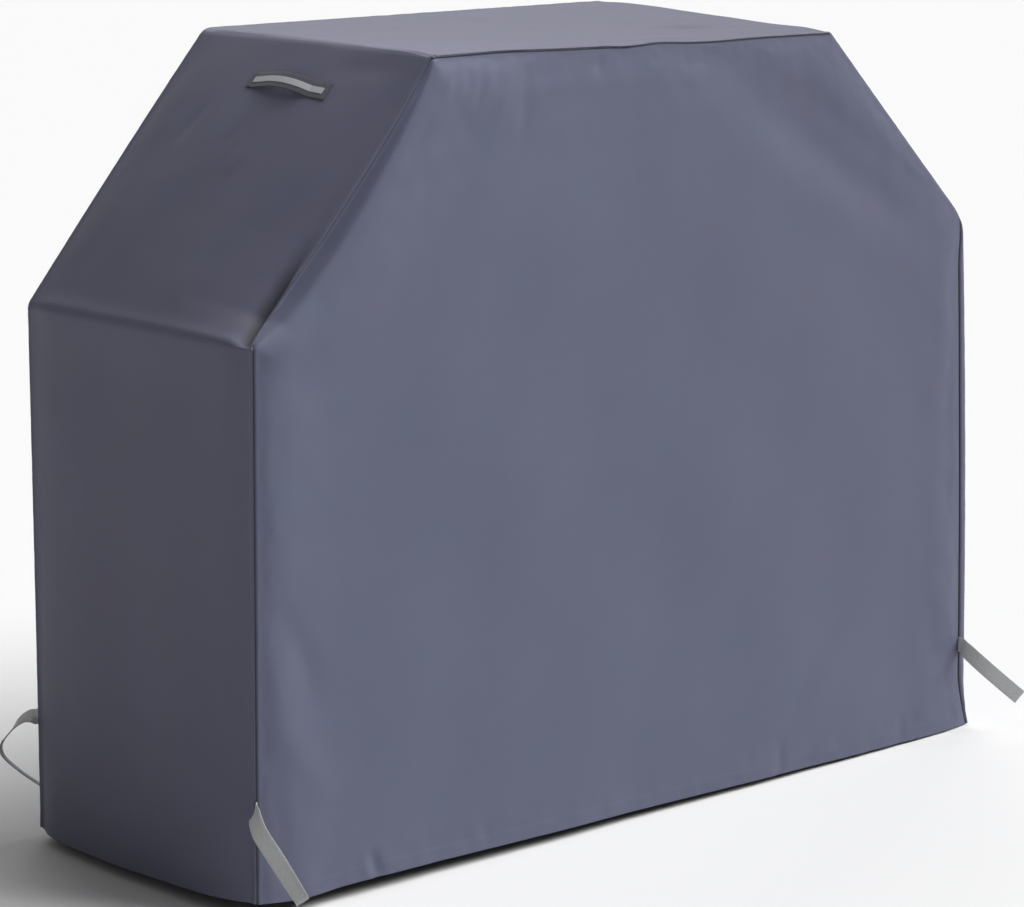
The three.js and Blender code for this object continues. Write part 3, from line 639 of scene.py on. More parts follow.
@dataclass
class Band:
    """The long strip: left side, left slope, top, right slope and right side.

    Attributes:
        corner_cells: Columns across each soft corner.
        corner_power: More than 1 sets those columns closer together beside the seam.
        columns: Columns between the corners.
        margin: Distances of the first of them from the corner, in mm.
        way: How far along the slope its direction is taken up and down for a handle, in mm.
        ends: The profile at each end, once it is built.
        grid: Its outer points in mm, rows by columns by 3, once it is built.
    """

    corner_cells: int = 8
    corner_power: float = 1.35
    columns: int = 78
    margin: tuple[float, ...] = (1.5, 3.2, 5.2, 7.8, 11, 15, 20, 26.5, 35, 48)
    way: float = 30
    ends: dict[End, Profile] = field(default_factory=dict)
    grid: Array | None = None

    def build(self) -> bpy.types.Object:
        """Makes the band's sheet.

        Returns:
            The band as one closed sheet.
        """
        self.ends = {end: Profile(end) for end in End}
        front, back = self.ends[End.FRONT], self.ends[End.BACK]
        first = [self._corner(front, k) for k in range(self.corner_cells + 1)]
        last = [self._corner(back, k) for k in range(self.corner_cells, -1, -1)]
        margin = np.array(self.margin)
        reach = FLAT_EDGE - margin[-1]
        inner = np.linspace(-reach, reach, self.columns - 2 * len(margin) + 2)[1:-1]
        across = np.concatenate([-FLAT_EDGE + margin, inner, (FLAT_EDGE - margin)[::-1]])
        middle = [self._middle(front, back, y) for y in across]
        parts = [*first, *middle, *last]
        self.grid = np.stack([p[0] for p in parts], 1)
        seam = np.stack([p[1] for p in parts], 1)
        gaps = np.linalg.norm(np.diff(self.grid, axis=1), axis=2)
        u = np.concatenate([np.zeros((len(gaps), 1)), np.cumsum(gaps, 1)], 1)
        v = np.repeat(((front.walked + back.walked) / 2)[:, None], u.shape[1], 1)
        normals = self._normals(first[0][2], last[-1][2])
        return sheet_object("band", self.grid, np.stack([u, v], 2), seam, normals)

    def _normals(self, first: Array, last: Array) -> Array:
        """Outward directions of the grid.

        Args:
            first: Those at the front seam.
            last: Those at the back seam.

        Returns:
            The directions, with those at the two seams as stated.
        """
        found = unit(np.cross(np.gradient(self.grid, axis=0), np.gradient(self.grid, axis=1)))
        if (found[:, 0] * first).sum() < 0:
            found = -found
        found[:, 0], found[:, -1] = first, last
        return found

    def _corner(self, profile: Profile, k: int) -> Arrays:
        """A column of a soft corner.

        Args:
            profile: The profile at that end.
            k: The column, counted from the seam.

        Returns:
            Points, the distances from the seam that draw the painted shade of the groove and the fold, and
            outward directions.
        """
        c = (k / self.corner_cells) ** self.corner_power
        position, normal, seam = profile.corner_at(c, SEAM_GAP / 2 if k == 0 else 0)
        pucker = PUCKER.at(profile.walked, seam * PUCKER_SQUEEZE) * smooth(seam, *PUCKER_STARTS)
        relief = profile.edge_relief(seam) + pucker
        relief += hem_relief(profile.above_hem(), profile.walked)
        inwards = HALF_DEPTH - np.abs(position[:, 1])
        position = position + normal * relief[:, None]
        position[:, 2] -= HEM_DROP[profile.k] * near_hem(profile.points) * smooth(inwards, *HEM_EASE)
        return position, profile.mark(seam), normal

    def _middle(self, front: Profile, back: Profile, y: float) -> Arrays:
        """A column between the corners.

        Args:
            front: The profile at the front.
            back: The profile at the back.
            y: Where the column lies, in mm.

        Returns:
            Points, the distances from the nearer seam that draw the painted shade of the groove and the fold,
            and outward directions.
        """
        share = (y + FLAT_EDGE) / (2 * FLAT_EDGE)
        near = front if y < 0 else back
        point = front.points + (back.points - front.points) * share
        out = unit(front.outs + (back.outs - front.outs) * share)
        walked = front.walked + (back.walked - front.walked) * share
        radius = front.radius + (back.radius - front.radius) * share
        place = y - near.end.value * near.slip * smooth(np.full(1, abs(y)), SLIP_STARTS, FLAT_EDGE)
        edge = HALF_DEPTH - near.radius * HALF_TURN - near.slip - np.abs(place)
        seam = edge + near.arc()
        face = radius * (1 - HALF_TURN)
        rise = face + (FACE - face) * smooth(edge, 0, EASE) + self._rise(front.stretch, point, y)
        rise = rise + near.edge_relief(seam) - near.sunk * (1 - smooth(edge, 0, SINK_REACH))
        rise = rise + PUCKER.at(walked, seam * PUCKER_SQUEEZE) * (1 - smooth(seam, *PUCKER_ENDS))
        rise = rise + hem_relief(np.minimum(walked, walked[-1] - walked), walked + y)
        position = stand_out(point, out, rise, place)
        drop = HEM_DROP[0] + (HEM_DROP[1] - HEM_DROP[0]) * share
        position[:, 2] -= drop * near_hem(point) * smooth(HALF_DEPTH - np.abs(place), *HEM_EASE)
        normal = np.stack([out[:, 0], np.zeros(len(out)), out[:, 1]], 1)
        return position, near.mark(seam), normal

    def _rise(self, stretch: Array, point: Array, y: float) -> Array:
        """How far the band stands out of its straight line, with its bulge, sag, folds and unevenness.

        Args:
            stretch: The stretch that each station is on.
            point: The stations as (x, z) in mm.
            y: Where the column lies, in mm.

        Returns:
            The rise of each station in mm.
        """
        edge, out = FLAT_EDGE - abs(y), abs(y) / FLAT_EDGE
        total = np.zeros(len(point))
        for i, (fold, after) in enumerate(zip(FOLDS, FOLDS[1:])):
            on = stretch == i
            axis = 0 if i == TOP else 1
            t = np.clip((point[on, axis] - fold.front[axis]) / (after.front[axis] - fold.front[axis]), 0, 1)
            gathered = 1 - (1 - t) ** 2 if fold.bulge > after.bulge else t * t
            bulge = fold.bulge + (after.bulge - fold.bulge) * gathered
            total[on] = bulge * (1 - out ** BULGE_POWER) * smooth(np.full(1, edge), *BULGE_EDGE)
            total[on] -= fold.sag * 4 * t * (1 - t) * (1 - out ** SAG_POWER)
        inside = smooth(np.full(1, edge), *INSIDE)
        share = (y + FLAT_EDGE) / (2 * FLAT_EDGE)
        ridge = SHOULDER_RIDGE[0] * inside * (RIDGE_GROWS[0] + RIDGE_GROWS[1] * share)
        for side in Side:
            on = stretch == SLOPE[side]
            upright = stretch == UPRIGHT[side]
            foot = shoulder_at(side)
            up = np.linalg.norm(point[on] - foot, axis=1)
            total[on] += ridge * bell(up, SHOULDER_RIDGE[1])
            total[upright] += ridge * bell(np.linalg.norm(point[upright] - foot, axis=1), SHOULDER_RIDGE[2])
            arched = np.sin(math.pi * np.clip(up / CROWN_LENGTH, 0, 1))
            total[on] += SLOPE_CROWN[side] * arched * (1 - out ** BULGE_POWER)
            for at_up, at_y, rise, length, width in SLOPE_HOLLOWS[side]:
                total[on] += rise * bell(up - at_up, length) * bell(y - at_y, width)
            for crease in SLOPE_CREASES[side]:
                total[on] += crease.at(np.full(up.shape, y), up) * inside
        on_top = stretch == TOP
        for crease in TOP_CREASES:
            total[on_top] += crease.at(point[on_top, 0], np.full(on_top.sum(), y)) * inside
        for side, creases in SIDE_CREASES.items():
            on = stretch == UPRIGHT[side]
            for crease in creases:
                total[on] += crease.at(np.full(on.sum(), y), point[on, 1]) * inside
        walked = self.ends[End.BACK].walked
        total += BAND_RELIEF.at(walked, np.full(len(walked), y)) * inside * np.where(on_top, TOP_RELIEF, 1.0)
        total += BAND_RIPPLE.at(walked, np.full(len(walked), y)) * inside
        return total

    def on_slope(self, side: Side, up: float, y: Array) -> Arrays:
        """Points of a slope as it is built, by the distance up from its shoulder and y.

        Args:
            side: Which slope.
            up: Distance up the slope in mm.
            y: Places across the slope in mm.

        Returns:
            Points, uphill directions and outward directions, one row for each y.
        """
        strip = self.grid[self.ends[End.FRONT].stretch == SLOPE[side]]
        at = np.array([[np.interp(y, row[:, 1], row[:, k]) for k in (0, 2)] for row in strip])
        foot = shoulder_at(side)
        here, uphill = [], []
        for n in range(len(y)):
            line = at[:, :, n]
            walked = np.linalg.norm(line - foot, axis=1)
            order = np.argsort(walked)
            steps = up + np.array([-self.way, 0, self.way])
            behind, spot, ahead = np.stack([np.interp(steps, walked[order], line[order, k]) for k in (0, 1)], 1)
            way = unit(ahead - behind)
            here.append([spot[0], y[n], spot[1]])
            uphill.append([way[0], 0, way[1]])
        uphill_way = np.array(uphill)
        out = unit(np.cross(uphill_way, np.array([0, -side.value, 0.0])))
        return np.array(here), uphill_way, out


def hem_relief(above: Array, along: Array) -> Array:
    """The folded hem: a thicker strip along the edge, with small puckers at and above its stitching.

    Args:
        above: Distances of points above the hem in mm.
        along: Their places along the hem in mm.

    Returns:
        Relief in mm.
    """
    folded = 1 - smooth(above, HEM_FOLD - HEM_STEP[0], HEM_FOLD + HEM_STEP[1])
    thick = HEM_THICK * folded - HEM_DENT[0] * bell(above - HEM_FOLD, HEM_DENT[1])
    return thick + HEM_PUCKER.at(along, above * HEM_PUCKERED[0]) * bell(above - HEM_FOLD, HEM_PUCKERED[1])


# ---- the panels
PANEL_RELIEF = {End.FRONT: Unevenness(1.3, 300, 31), End.BACK: Unevenness(2.0, 280, 32)}
PANEL_RIPPLE = {End.FRONT: Unevenness(0.5, 80, 33), End.BACK: Unevenness(0.5, 90, 34)}
RIPPLE_MIDDLE, RIPPLE_REACH = 0.12, 110  # the ripple's share in the middle, and how far from a seam it is more
PRESSED_STARTS = (2, 36)  # distances from the seam over which the creases and the relief set in
CROWN_STARTS = (20, 300)  # the same for the crown
FLARE_STARTS = (0, 110)  # the same for the flare at the hem
FLARE_ENDS = (-40, 420)  # heights above the hem over which the flare dies out
SAG_WIDTH, SAG_FADE = 60, 8  # half width of the hem's lowest part, and the power by which it fades upwards
DROP_STARTS = (0, 0.05)  # shares of the way across over which the hem's drop sets in
ROLL_STARTS = (120, 380)  # distances from the middle over which the roll beside a seam sets in
ROLL_TURNS = (-70, 30)  # heights about the shoulder over which the upright's roll turns into the slope's
ROLL_THINS = (0.8, 90)  # what share of it is gone at the top's end, and over what height
ROLL_FOOT, ROLL_ENDS = 17, (30, 150)  # half width of its steep foot at the seam, and where it falls off
EVERY = 3  # the seam is measured from by every third of its stations


@dataclass
class Panel:
    """The front or back panel, sewn to the band along both uprights, both slopes and the top.

    Attributes:
        end: Which panel.
        crown: How far its middle stands out, in mm.
        flare: How far it swings out near the hem, in mm.
        hem_drop: How much lower its hem hangs between the corners, in mm.
        sag: Place and depth of the hem's lowest point, in mm.
        rolls: Height of the roll beside the seam on the upright and on the slope, left then right, in mm.
        creases: The folds pressed into it.
        columns: Columns from seam to seam.
        upright_rows, slope_rows: Rows from the hem to the shoulder and from there to the top.
        margin: Distances of the columns and rows beside a seam from it, in mm.
        grid: Its outer points in mm, rows by columns by 3, once it is built.
    """

    end: End
    crown: float
    flare: float
    hem_drop: float
    sag: Pair
    rolls: tuple[Pair, Pair]
    creases: tuple[Crease, ...]
    columns: int = 222
    upright_rows: int = 118
    slope_rows: int = 72
    margin: tuple[float, ...] = (0, 0.8, 1.6, 2.4, 3.3, 4.4, 5.8, 7.6, 9.8, 12.6, 16, 20.5, 26, 33, 41)
    grid: Array | None = None

    def build(self, profile: Profile) -> bpy.types.Object:
        """Makes the panel's sheet.

        Args:
            profile: The band's profile at this end.

        Returns:
            The panel as one closed sheet.
        """
        seam = profile.corner_at(0)[0]
        left, top, right = self._runs(seam, profile)
        top_walked = walk(top)
        share = self._shares(np.linalg.norm(right - left, axis=1)[:, None])
        top_share = share[-1]
        on_top = np.stack([np.interp(top_share * top_walked[-1], top_walked, top[:, k]) for k in range(3)], 1)
        shift = on_top - (top[0] + (top[-1] - top[0]) * top_share[:, None])
        height = (left[:, 2] + right[:, 2]) / 2
        raised = ((height - height[0]) / (height[-1] - height[0]))[:, None]
        x, z = (left[:, k, None] + (right - left)[:, k, None] * share + shift[:, k] * raised for k in (0, 2))
        lowest = self.sag[1] * bell(x - self.sag[0], SAG_WIDTH) * (1 - raised) ** SAG_FADE
        dropped = self.hem_drop * smooth(np.minimum(share, 1 - share), *DROP_STARTS) * (1 - raised)
        z = z - lowest - dropped
        reach, distance = self._reach(x, z, seam, profile)
        self.grid = np.stack([x, self.end.value * reach, z], 2)
        normals = unit(np.cross(np.gradient(self.grid, axis=0), np.gradient(self.grid, axis=1)))
        if normals[len(normals) // 2, normals.shape[1] // 2, 1] * self.end.value < 0:
            normals = -normals
        gaps = np.linalg.norm(np.diff(self.grid, axis=1), axis=2)
        across = np.concatenate([np.zeros((len(gaps), 1)), np.cumsum(gaps, 1)], 1)
        across = across - gaps.sum(1, keepdims=True) / 2
        flat = np.stack([across, np.repeat(height[:, None], x.shape[1], 1)], 2)
        return sheet_object(f"{self.end.name.lower()}_cloth", self.grid, flat, distance, normals)

    def _runs(self, seam: Array, profile: Profile) -> Arrays:
        """The seam's three runs.

        Args:
            seam: The seam's points in mm, one for each station.
            profile: The band's profile at this end.

        Returns:
            The left run from the hem up, row by row, the top run from left to right, and the right run as the
            left.
        """
        first, last = profile.corner
        uprights = []
        for side, run in zip(Side, (seam[:first + 1], seam[last:][::-1])):
            way = walk(run)
            turn = np.interp(FOLDS[SHOULDER[side]].at(self.end)[1], run[:, 2], way)
            hem = np.array([0, *HEM_ROWS], float)
            upright = np.concatenate([hem, np.linspace(hem[-1], turn, self.upright_rows + 1)[1:]])
            fine = way[-1] - np.array(self.margin)[::-1]
            slope = np.concatenate([np.linspace(turn, fine[0], self.slope_rows + 1)[1:-1], fine])
            at = np.concatenate([upright, slope])
            uprights.append(np.stack([np.interp(at, way, run[:, k]) for k in range(3)], 1))
        return uprights[0], seam[first:last + 1], uprights[1]

    def _shares(self, length: Array) -> Array:
        """Where the columns lie in each row, with close columns beside both seams.

        Args:
            length: The rows' lengths in mm, one to a row.

        Returns:
            Each column's share of the way across, rows by columns.
        """
        margin = np.array(self.margin)
        inner = np.linspace(0, 1, self.columns - 2 * len(margin) + 2)[1:-1]
        near = margin / length
        middle = near[:, -1:] + (1 - 2 * near[:, -1:]) * inner
        return np.concatenate([near, middle, 1 - near[:, ::-1]], 1)

    def _reach(self, x: Array, z: Array, seam: Array, profile: Profile) -> tuple[Array, Array]:
        """How far the panel's face lies from the middle plane.

        Args:
            x: The grid's places along the cover, in mm.
            z: Its heights, in mm.
            seam: The seam's points in mm, one for each station.
            profile: The band's profile at this end.

        Returns:
            That distance, and the one from the seam that the cloth's painted shade line is drawn by, in mm.
        """
        distance = np.full(x.shape, np.inf)
        own = (profile.walked, profile.radius, profile.bend, profile.wrap, profile.calm)
        values = np.stack([abs(seam[:, 1]), *own])
        found = np.zeros((len(values), *x.shape))
        kept = [np.arange(0, len(seam), EVERY), profile.corner, [len(seam) - 1]]
        thinned = np.unique(np.concatenate(kept))
        for p, r in zip(thinned, thinned[1:]):
            share, away = beside(x, z, seam[p, [0, 2]], (seam[r] - seam[p])[[0, 2]])
            nearer = away < distance
            distance = np.where(nearer, away, distance)
            here = values[:, p, None, None] + share * (values[:, r] - values[:, p])[:, None, None]
            found = np.where(nearer, here, found)
        tuck, along, radius, bend, wrap, calm = found
        face = HALF_DEPTH + radius * (1 - HALF_TURN)
        deep = np.maximum(face - tuck, 0)
        strip = np.maximum(deep - bend, 0)
        deep = np.minimum(deep, bend)
        past = np.clip(distance - SEAM_STEP * wrap * smooth(z, *STEP_STARTS), 0, None)
        turning = np.clip(strip / LEAN + np.sqrt(2 * bend * deep - deep ** 2) - past, 0, bend)
        rim = bend - np.sqrt(bend ** 2 - turning ** 2) + np.clip(strip - LEAN * past, 0, None)
        # the distance that draws the painted shade line of the groove
        mark = np.hypot(distance, np.abs(face - rim - tuck)) + WRAP_MARK * wrap
        face = face + (FACE + HALF_DEPTH - face) * smooth(distance, 0, EASE)
        hem = seam[0, 2] + (seam[-1, 2] - seam[0, 2]) * (x - seam[0, 0]) / (seam[-1, 0] - seam[0, 0])
        low = 1 - smooth(z - hem, *FLARE_ENDS)
        reach = face - rim + self.crown * smooth(distance, *CROWN_STARTS)
        reach += self.flare * low ** 2 * smooth(distance, *FLARE_STARTS)
        reach += self._roll(x, z, distance)
        pressed = sum(crease.at(x, z) for crease in self.creases)
        pressed = pressed + PANEL_RELIEF[self.end].at(x, z)
        rippled = RIPPLE_MIDDLE + (1 - RIPPLE_MIDDLE) * bell(distance, RIPPLE_REACH)
        pressed = pressed + PANEL_RIPPLE[self.end].at(x, z) * rippled
        reach += pressed * smooth(distance, *PRESSED_STARTS)
        pucker = PUCKER.at(along, distance * PUCKER_SQUEEZE) * smooth(distance, *PUCKER_STARTS)
        reach += pucker * (1 - smooth(distance, *PUCKER_ENDS)) * (1 - wrap)
        reach += hem_relief(z - z[:1], x)
        reach -= GROOVE[0] * (1 - calm) * bell(distance, GROOVE[1])
        return reach, mark

    def _roll(self, x: Array, z: Array, distance: Array) -> Array:
        """The raised roll beside the seam: steep next to it, with a long fall towards the middle.

        Args:
            x: The grid's places along the cover, in mm.
            z: Its heights, in mm.
            distance: Distances from the seam in mm.

        Returns:
            The roll's height in mm.
        """
        total = np.zeros(x.shape)
        for side, (upright, slope) in zip(Side, self.rolls):
            shoulder = FOLDS[SHOULDER[side]].at(self.end)[1]
            edge = FOLDS[TOP_EDGE[side]].at(self.end)[1]
            on_slope = smooth(z, shoulder + ROLL_TURNS[0], shoulder + ROLL_TURNS[1])
            on_slope = on_slope * (1 - ROLL_THINS[0] * smooth(z, edge - ROLL_THINS[1], edge))
            height = upright + (slope - upright) * on_slope
            mine = smooth(side.value * x, *ROLL_STARTS)
            total += mine * height * (1 - bell(distance, ROLL_FOOT)) * (1 - smooth(distance, *ROLL_ENDS))
        return total


FRONT_CREASES = (
    # the broad soft fold that falls from the right end of the top to the right shoulder
    Crease((150, -22), (380, -200), (660, -350), -4.2, 40),
    Crease((250, -50), (450, -160), (690, -318), -2.2, 26),
    Crease((120, -90), (330, -250), (620, -410), 1.6, 46),
    # short gathers under the left end of the top seam
    Crease((-358, 8), (-363, -14), (-374, -46), -1.8, 6.5),
    Crease((-335, 8), (-339, -10), (-346, -34), -1.2, 5.5),
    Crease((-308, 8), (-313, -12), (-327, -58), -2.1, 7),
    Crease((-276, 4), (-282, -16), (-290, -40), -0.8, 6.5),
    Crease((-224, 2), (-230, -56), (-238, -126), -1.4, 13),
    Crease((-262, -20), (-276, -66), (-296, -116), 1.0, 12),
    Crease((-382, -10), (-420, -70), (-470, -150), -1.6, 14),
    # slack cloth in front of the left shoulder
    Crease((-664, -296), (-672, -345), (-694, -410), 3.6, 32, end_fade=0.0),
    # small dents along the top seam
    Crease((-80, 0), (-80, -14), (-84, -34), -2.0, 8),
    Crease((84, -2), (90, -18), (104, -40), -1.2, 8),
    # slack cloth low on the left
    Crease((-728, -790), (-716, -880), (-672, -950), 1.4, 23),
    Crease((-700, -900), (-672, -960), (-600, -1030), 1.5, 27),
    Crease((-700, -730), (-672, -790), (-640, -850), -2.4, 26),
    Crease((-662, -800), (-648, -850), (-630, -890), -2.0, 20),
    Crease((-716, -560), (-700, -620), (-690, -690), 1.4, 22),
    Crease((-700, -440), (-690, -520), (-704, -590), -1.4, 22),
    Crease((-716, -980), (-706, -1060), (-690, -1150), -2.2, 22),
    # small folds at the hem
    Crease((-536, -1128), (-530, -1146), (-520, -1170), -3.4, 8),
    Crease((-552, -1132), (-546, -1150), (-542, -1170), 1.8, 8),
    Crease((-318, -1136), (-312, -1152), (-310, -1168), -1.6, 9),
    Crease((306, -1130), (308, -1150), (306, -1176), -2.0, 9),
    Crease((590, -1138), (592, -1156), (590, -1178), -2.0, 9),
    # faint folds low on the right and slack cloth beside the right seam
    Crease((476, -930), (400, -985), (344, -1052), -1.8, 28),
    Crease((452, -985), (400, -1040), (372, -1100), 1.4, 28),
    Crease((704, -420), (694, -620), (706, -830), -1.8, 18),
    Crease((650, -960), (690, -1050), (724, -1150), -2.0, 28),
)
BACK_CREASES = (
    Crease((-180, -24), (-400, -190), (-640, -330), -6.5, 22),
    Crease((-270, -44), (-450, -150), (-672, -306), -5.0, 19),
    Crease((230, -36), (420, -176), (620, -316), -6.5, 24),
    Crease((340, 4), (348, -28), (356, -70), -4.0, 9),
    Crease((296, 4), (302, -22), (310, -56), -3.6, 8),
    Crease((120, 0), (126, -40), (130, -90), -2.4, 12),
    Crease((-60, 2), (-64, -18), (-70, -46), -2.4, 8),
    Crease((706, -780), (690, -920), (640, -1040), 4.5, 18),
    Crease((600, -900), (560, -990), (500, -1080), 4.0, 30),
    Crease((-600, -820), (-640, -960), (-690, -1090), -4.0, 26),
    Crease((-240, -700), (-300, -860), (-420, -1020), -2.6, 44),
    Crease((420, -1120), (424, -1146), (430, -1172), -3.2, 10),
    Crease((-380, -1130), (-384, -1150), (-384, -1172), -2.6, 9),
)


# ---- webbing
STITCH_LIFT = 0.1  # how far a stitch's middle stands above the webbing, in mm


def through(points: Array, at: Array) -> Array:
    """A smooth curve through points, spaced by the square root of their distances.

    Args:
        points: The points that it passes, N by 3.
        at: Places along it, 0 at the first point and 1 at the last.

    Returns:
        Points of the curve.
    """
    padded = np.concatenate([[2 * points[0] - points[1]], points, [2 * points[-1] - points[-2]]])
    found = []
    for f in at * (len(points) - 1):
        i = min(int(f), len(points) - 2)
        p = padded[i:i + 4]
        t = f - i
        step = np.maximum(np.linalg.norm(np.diff(p, axis=0), axis=1) ** 0.5, 1e-4)
        near = (p[1] - p[0]) / step[0] - (p[2] - p[0]) / (step[0] + step[1]) + (p[2] - p[1]) / step[1]
        far = (p[2] - p[1]) / step[1] - (p[3] - p[1]) / (step[1] + step[2]) + (p[3] - p[2]) / step[2]
        near, far = near * step[1], far * step[1]
        found.append(p[1] + near * t + (3 * (p[2] - p[1]) - 2 * near - far) * t ** 2
                     + (2 * (p[1] - p[2]) + near + far) * t ** 3)
    return np.array(found)


@dataclass(frozen=True)
class Ribbon:
    """A flat woven ribbon that stands on a line of its underside.

    Attributes:
        width: Its width in mm.
        thickness: Its thickness in mm.
        round_points: Points round each edge.
        face_points: Points across each face.
    """

    width: float
    thickness: float
    round_points: int = 4
    face_points: int = 9

    def build(self, name: str, centre: Array, across: Array, up: Array) -> bpy.types.Object:
        """Makes the ribbon along a line.

        Args:
            name: The new object's name.
            centre: The underside's middle at each station in mm.
            across: The direction of its width at each station.
            up: The direction of its thickness at each station.

        Returns:
            The ribbon as one closed piece.
        """
        r = self.thickness / 2
        half = self.width / 2 - r
        face = np.linspace(-half, half, self.face_points)
        turn = np.linspace(math.pi / 2, -math.pi / 2, self.round_points + 2)[1:-1]
        edge, fall = r * np.cos(turn), r * np.sin(turn)
        a = np.concatenate([face, half + edge, face[::-1], -half - edge])
        b = np.concatenate([np.full(len(face), 2 * r), r + fall, np.zeros(len(face)), r - fall])
        points = centre[:, None] + across[:, None] * a[None, :, None] + up[:, None] * b[None, :, None]
        count, around = points.shape[:2]
        index = np.arange(count * around).reshape(count, around)
        after = np.roll(index, -1, 1)
        sides = np.stack([index[:-1], after[:-1], after[1:], index[1:]], -1).reshape(-1, 4).tolist()
        caps = [index[0, ::-1].tolist(), index[-1].tolist()]
        way = np.cross(across[count // 2], up[count // 2]) @ (centre[-1] - centre[0])
        faces = sides + caps if way > 0 else [f[::-1] for f in sides + caps]
        mesh = bpy.data.meshes.new(name)
        mesh.from_pydata((points.reshape(-1, 3) * MM).tolist(), [], faces)
        smooth_faces = np.ones(len(faces), bool)
        smooth_faces[-2:] = False
        mesh.polygons.foreach_set("use_smooth", smooth_faces)
        flat = np.broadcast_arrays(a + self.width / 2, walk(centre)[:, None])
        lay_cloth(mesh, np.stack(flat, 2).reshape(-1, 2) * MM)
        return add_object(name, mesh)


@dataclass
class Handle:
    """A webbing handle across a slope: sewn flat at both ends, arched between, with a pale tape on it.

    Attributes:
        side: The slope that it is on.
        up: Its distance up the slope from the shoulder in mm.
        middle: Where its middle lies across the slope, as y in mm.
        length: Its length across the slope in mm.
        sewn_front, sewn_back: How much of it is sewn flat at each end, in mm.
        lift: Height of its arch in mm.
        fullness: More than 1 makes the arch rise more slowly at its ends.
        forward: 1 has the arch's crest halfway, and less brings it to the front.
        webbing, tape: The two ribbons.
        tape_length: The tape's length across the slope in mm.
        clear: Gap between the webbing and the slope in mm.
        tape_clear: Gap between the tape and the webbing in mm.
        cells: Pieces along each ribbon.
        box_aside: Distance of the stitched boxes from the webbing's edges in mm.
        box_near, box_far: Where the front box starts and stops in mm from the webbing's end.
        box_short: How far from the arch the back box stops, in mm.
    """

    side: Side
    up: float = 421
    middle: float = -13
    length: float = 172
    sewn_front: float = 36
    sewn_back: float = 12
    lift: float = 12.0
    fullness: float = 1.15
    forward: float = 0.78
    webbing: Ribbon = Ribbon(28, 1.9)
    tape: Ribbon = Ribbon(10.5, 0.7)
    tape_length: float = 153
    clear: float = 0.25
    tape_clear: float = 0.02
    cells: int = 72
    box_aside: float = 2.6
    box_near: float = 2.5
    box_far: float = 18
    box_short: float = 3

    def line(self, band: Band, length: float, over: float) -> Arrays:
        """The line that a layer of the handle stands on.

        Args:
            band: The built band that carries the handle.
            length: The layer's length in mm.
            over: Height of the layer's underside above the webbing's in mm.

        Returns:
            Centres, directions across and directions up.
        """
        y = self.middle + length * (np.linspace(0, 1, self.cells + 1) - 0.5)
        start = self.middle - self.length / 2 + self.sewn_front
        stop = self.middle + self.length / 2 - self.sewn_back
        t = np.clip((y - start) / (stop - start), 0, 1)
        arch = self.lift * np.sin(math.pi * t ** self.forward) ** self.fullness
        here, uphill, out = band.on_slope(self.side, self.up, y)
        return here + out * (arch + over + self.clear)[:, None], uphill, out

    def build(self, band: Band) -> tuple[bpy.types.Object, bpy.types.Object, list[Array]]:
        """Makes the webbing and its tape.

        Args:
            band: The built band that carries the handle.

        Returns:
            The webbing, the tape, and the lines of stitching that hold them.
        """
        name = self.side.name.lower()
        centre, across, up = self.line(band, self.length, 0)
        webbing = self.webbing.build(f"handle_{name}_webbing", centre, across, up)
        tape_line = self.line(band, self.tape_length, self.webbing.thickness + self.tape_clear)
        tape = self.tape.build(f"handle_{name}_pale_tape", *tape_line)
        return webbing, tape, self._stitching(centre, across, up)

    def _stitching(self, centre: Array, across: Array, up: Array) -> list[Array]:
        """A stitched box with a cross at each end of the webbing.

        Args:
            centre: The webbing's line in mm.
            across: Its directions across.
            up: Its directions up.

        Returns:
            The lines of stitching in mm.
        """
        top = centre + up * (self.webbing.thickness + STITCH_LIFT)
        walked = walk(centre)
        total = walked[-1]
        wide = self.webbing.width / 2 - self.box_aside
        back_box = (total - self.box_near, total - self.sewn_back + self.box_short)
        lines = []
        for near, far in ((self.box_near, self.box_far), back_box):
            corners = [(near, -wide), (far, -wide), (far, wide), (near, wide), (near, -wide)]
            crossed = [((near, -wide), (far, wide)), ((near, wide), (far, -wide))]
            for (a, b), (c, d) in [*zip(corners, corners[1:]), *crossed]:
                share = np.linspace(0, 1, 12)
                along, aside = a + (c - a) * share, b + (d - b) * share
                spot, way = (np.stack([np.interp(along, walked, line[:, k]) for k in range(3)], 1)
                             for line in (top, across))
                lines.append(spot + way * aside[:, None])
        return lines


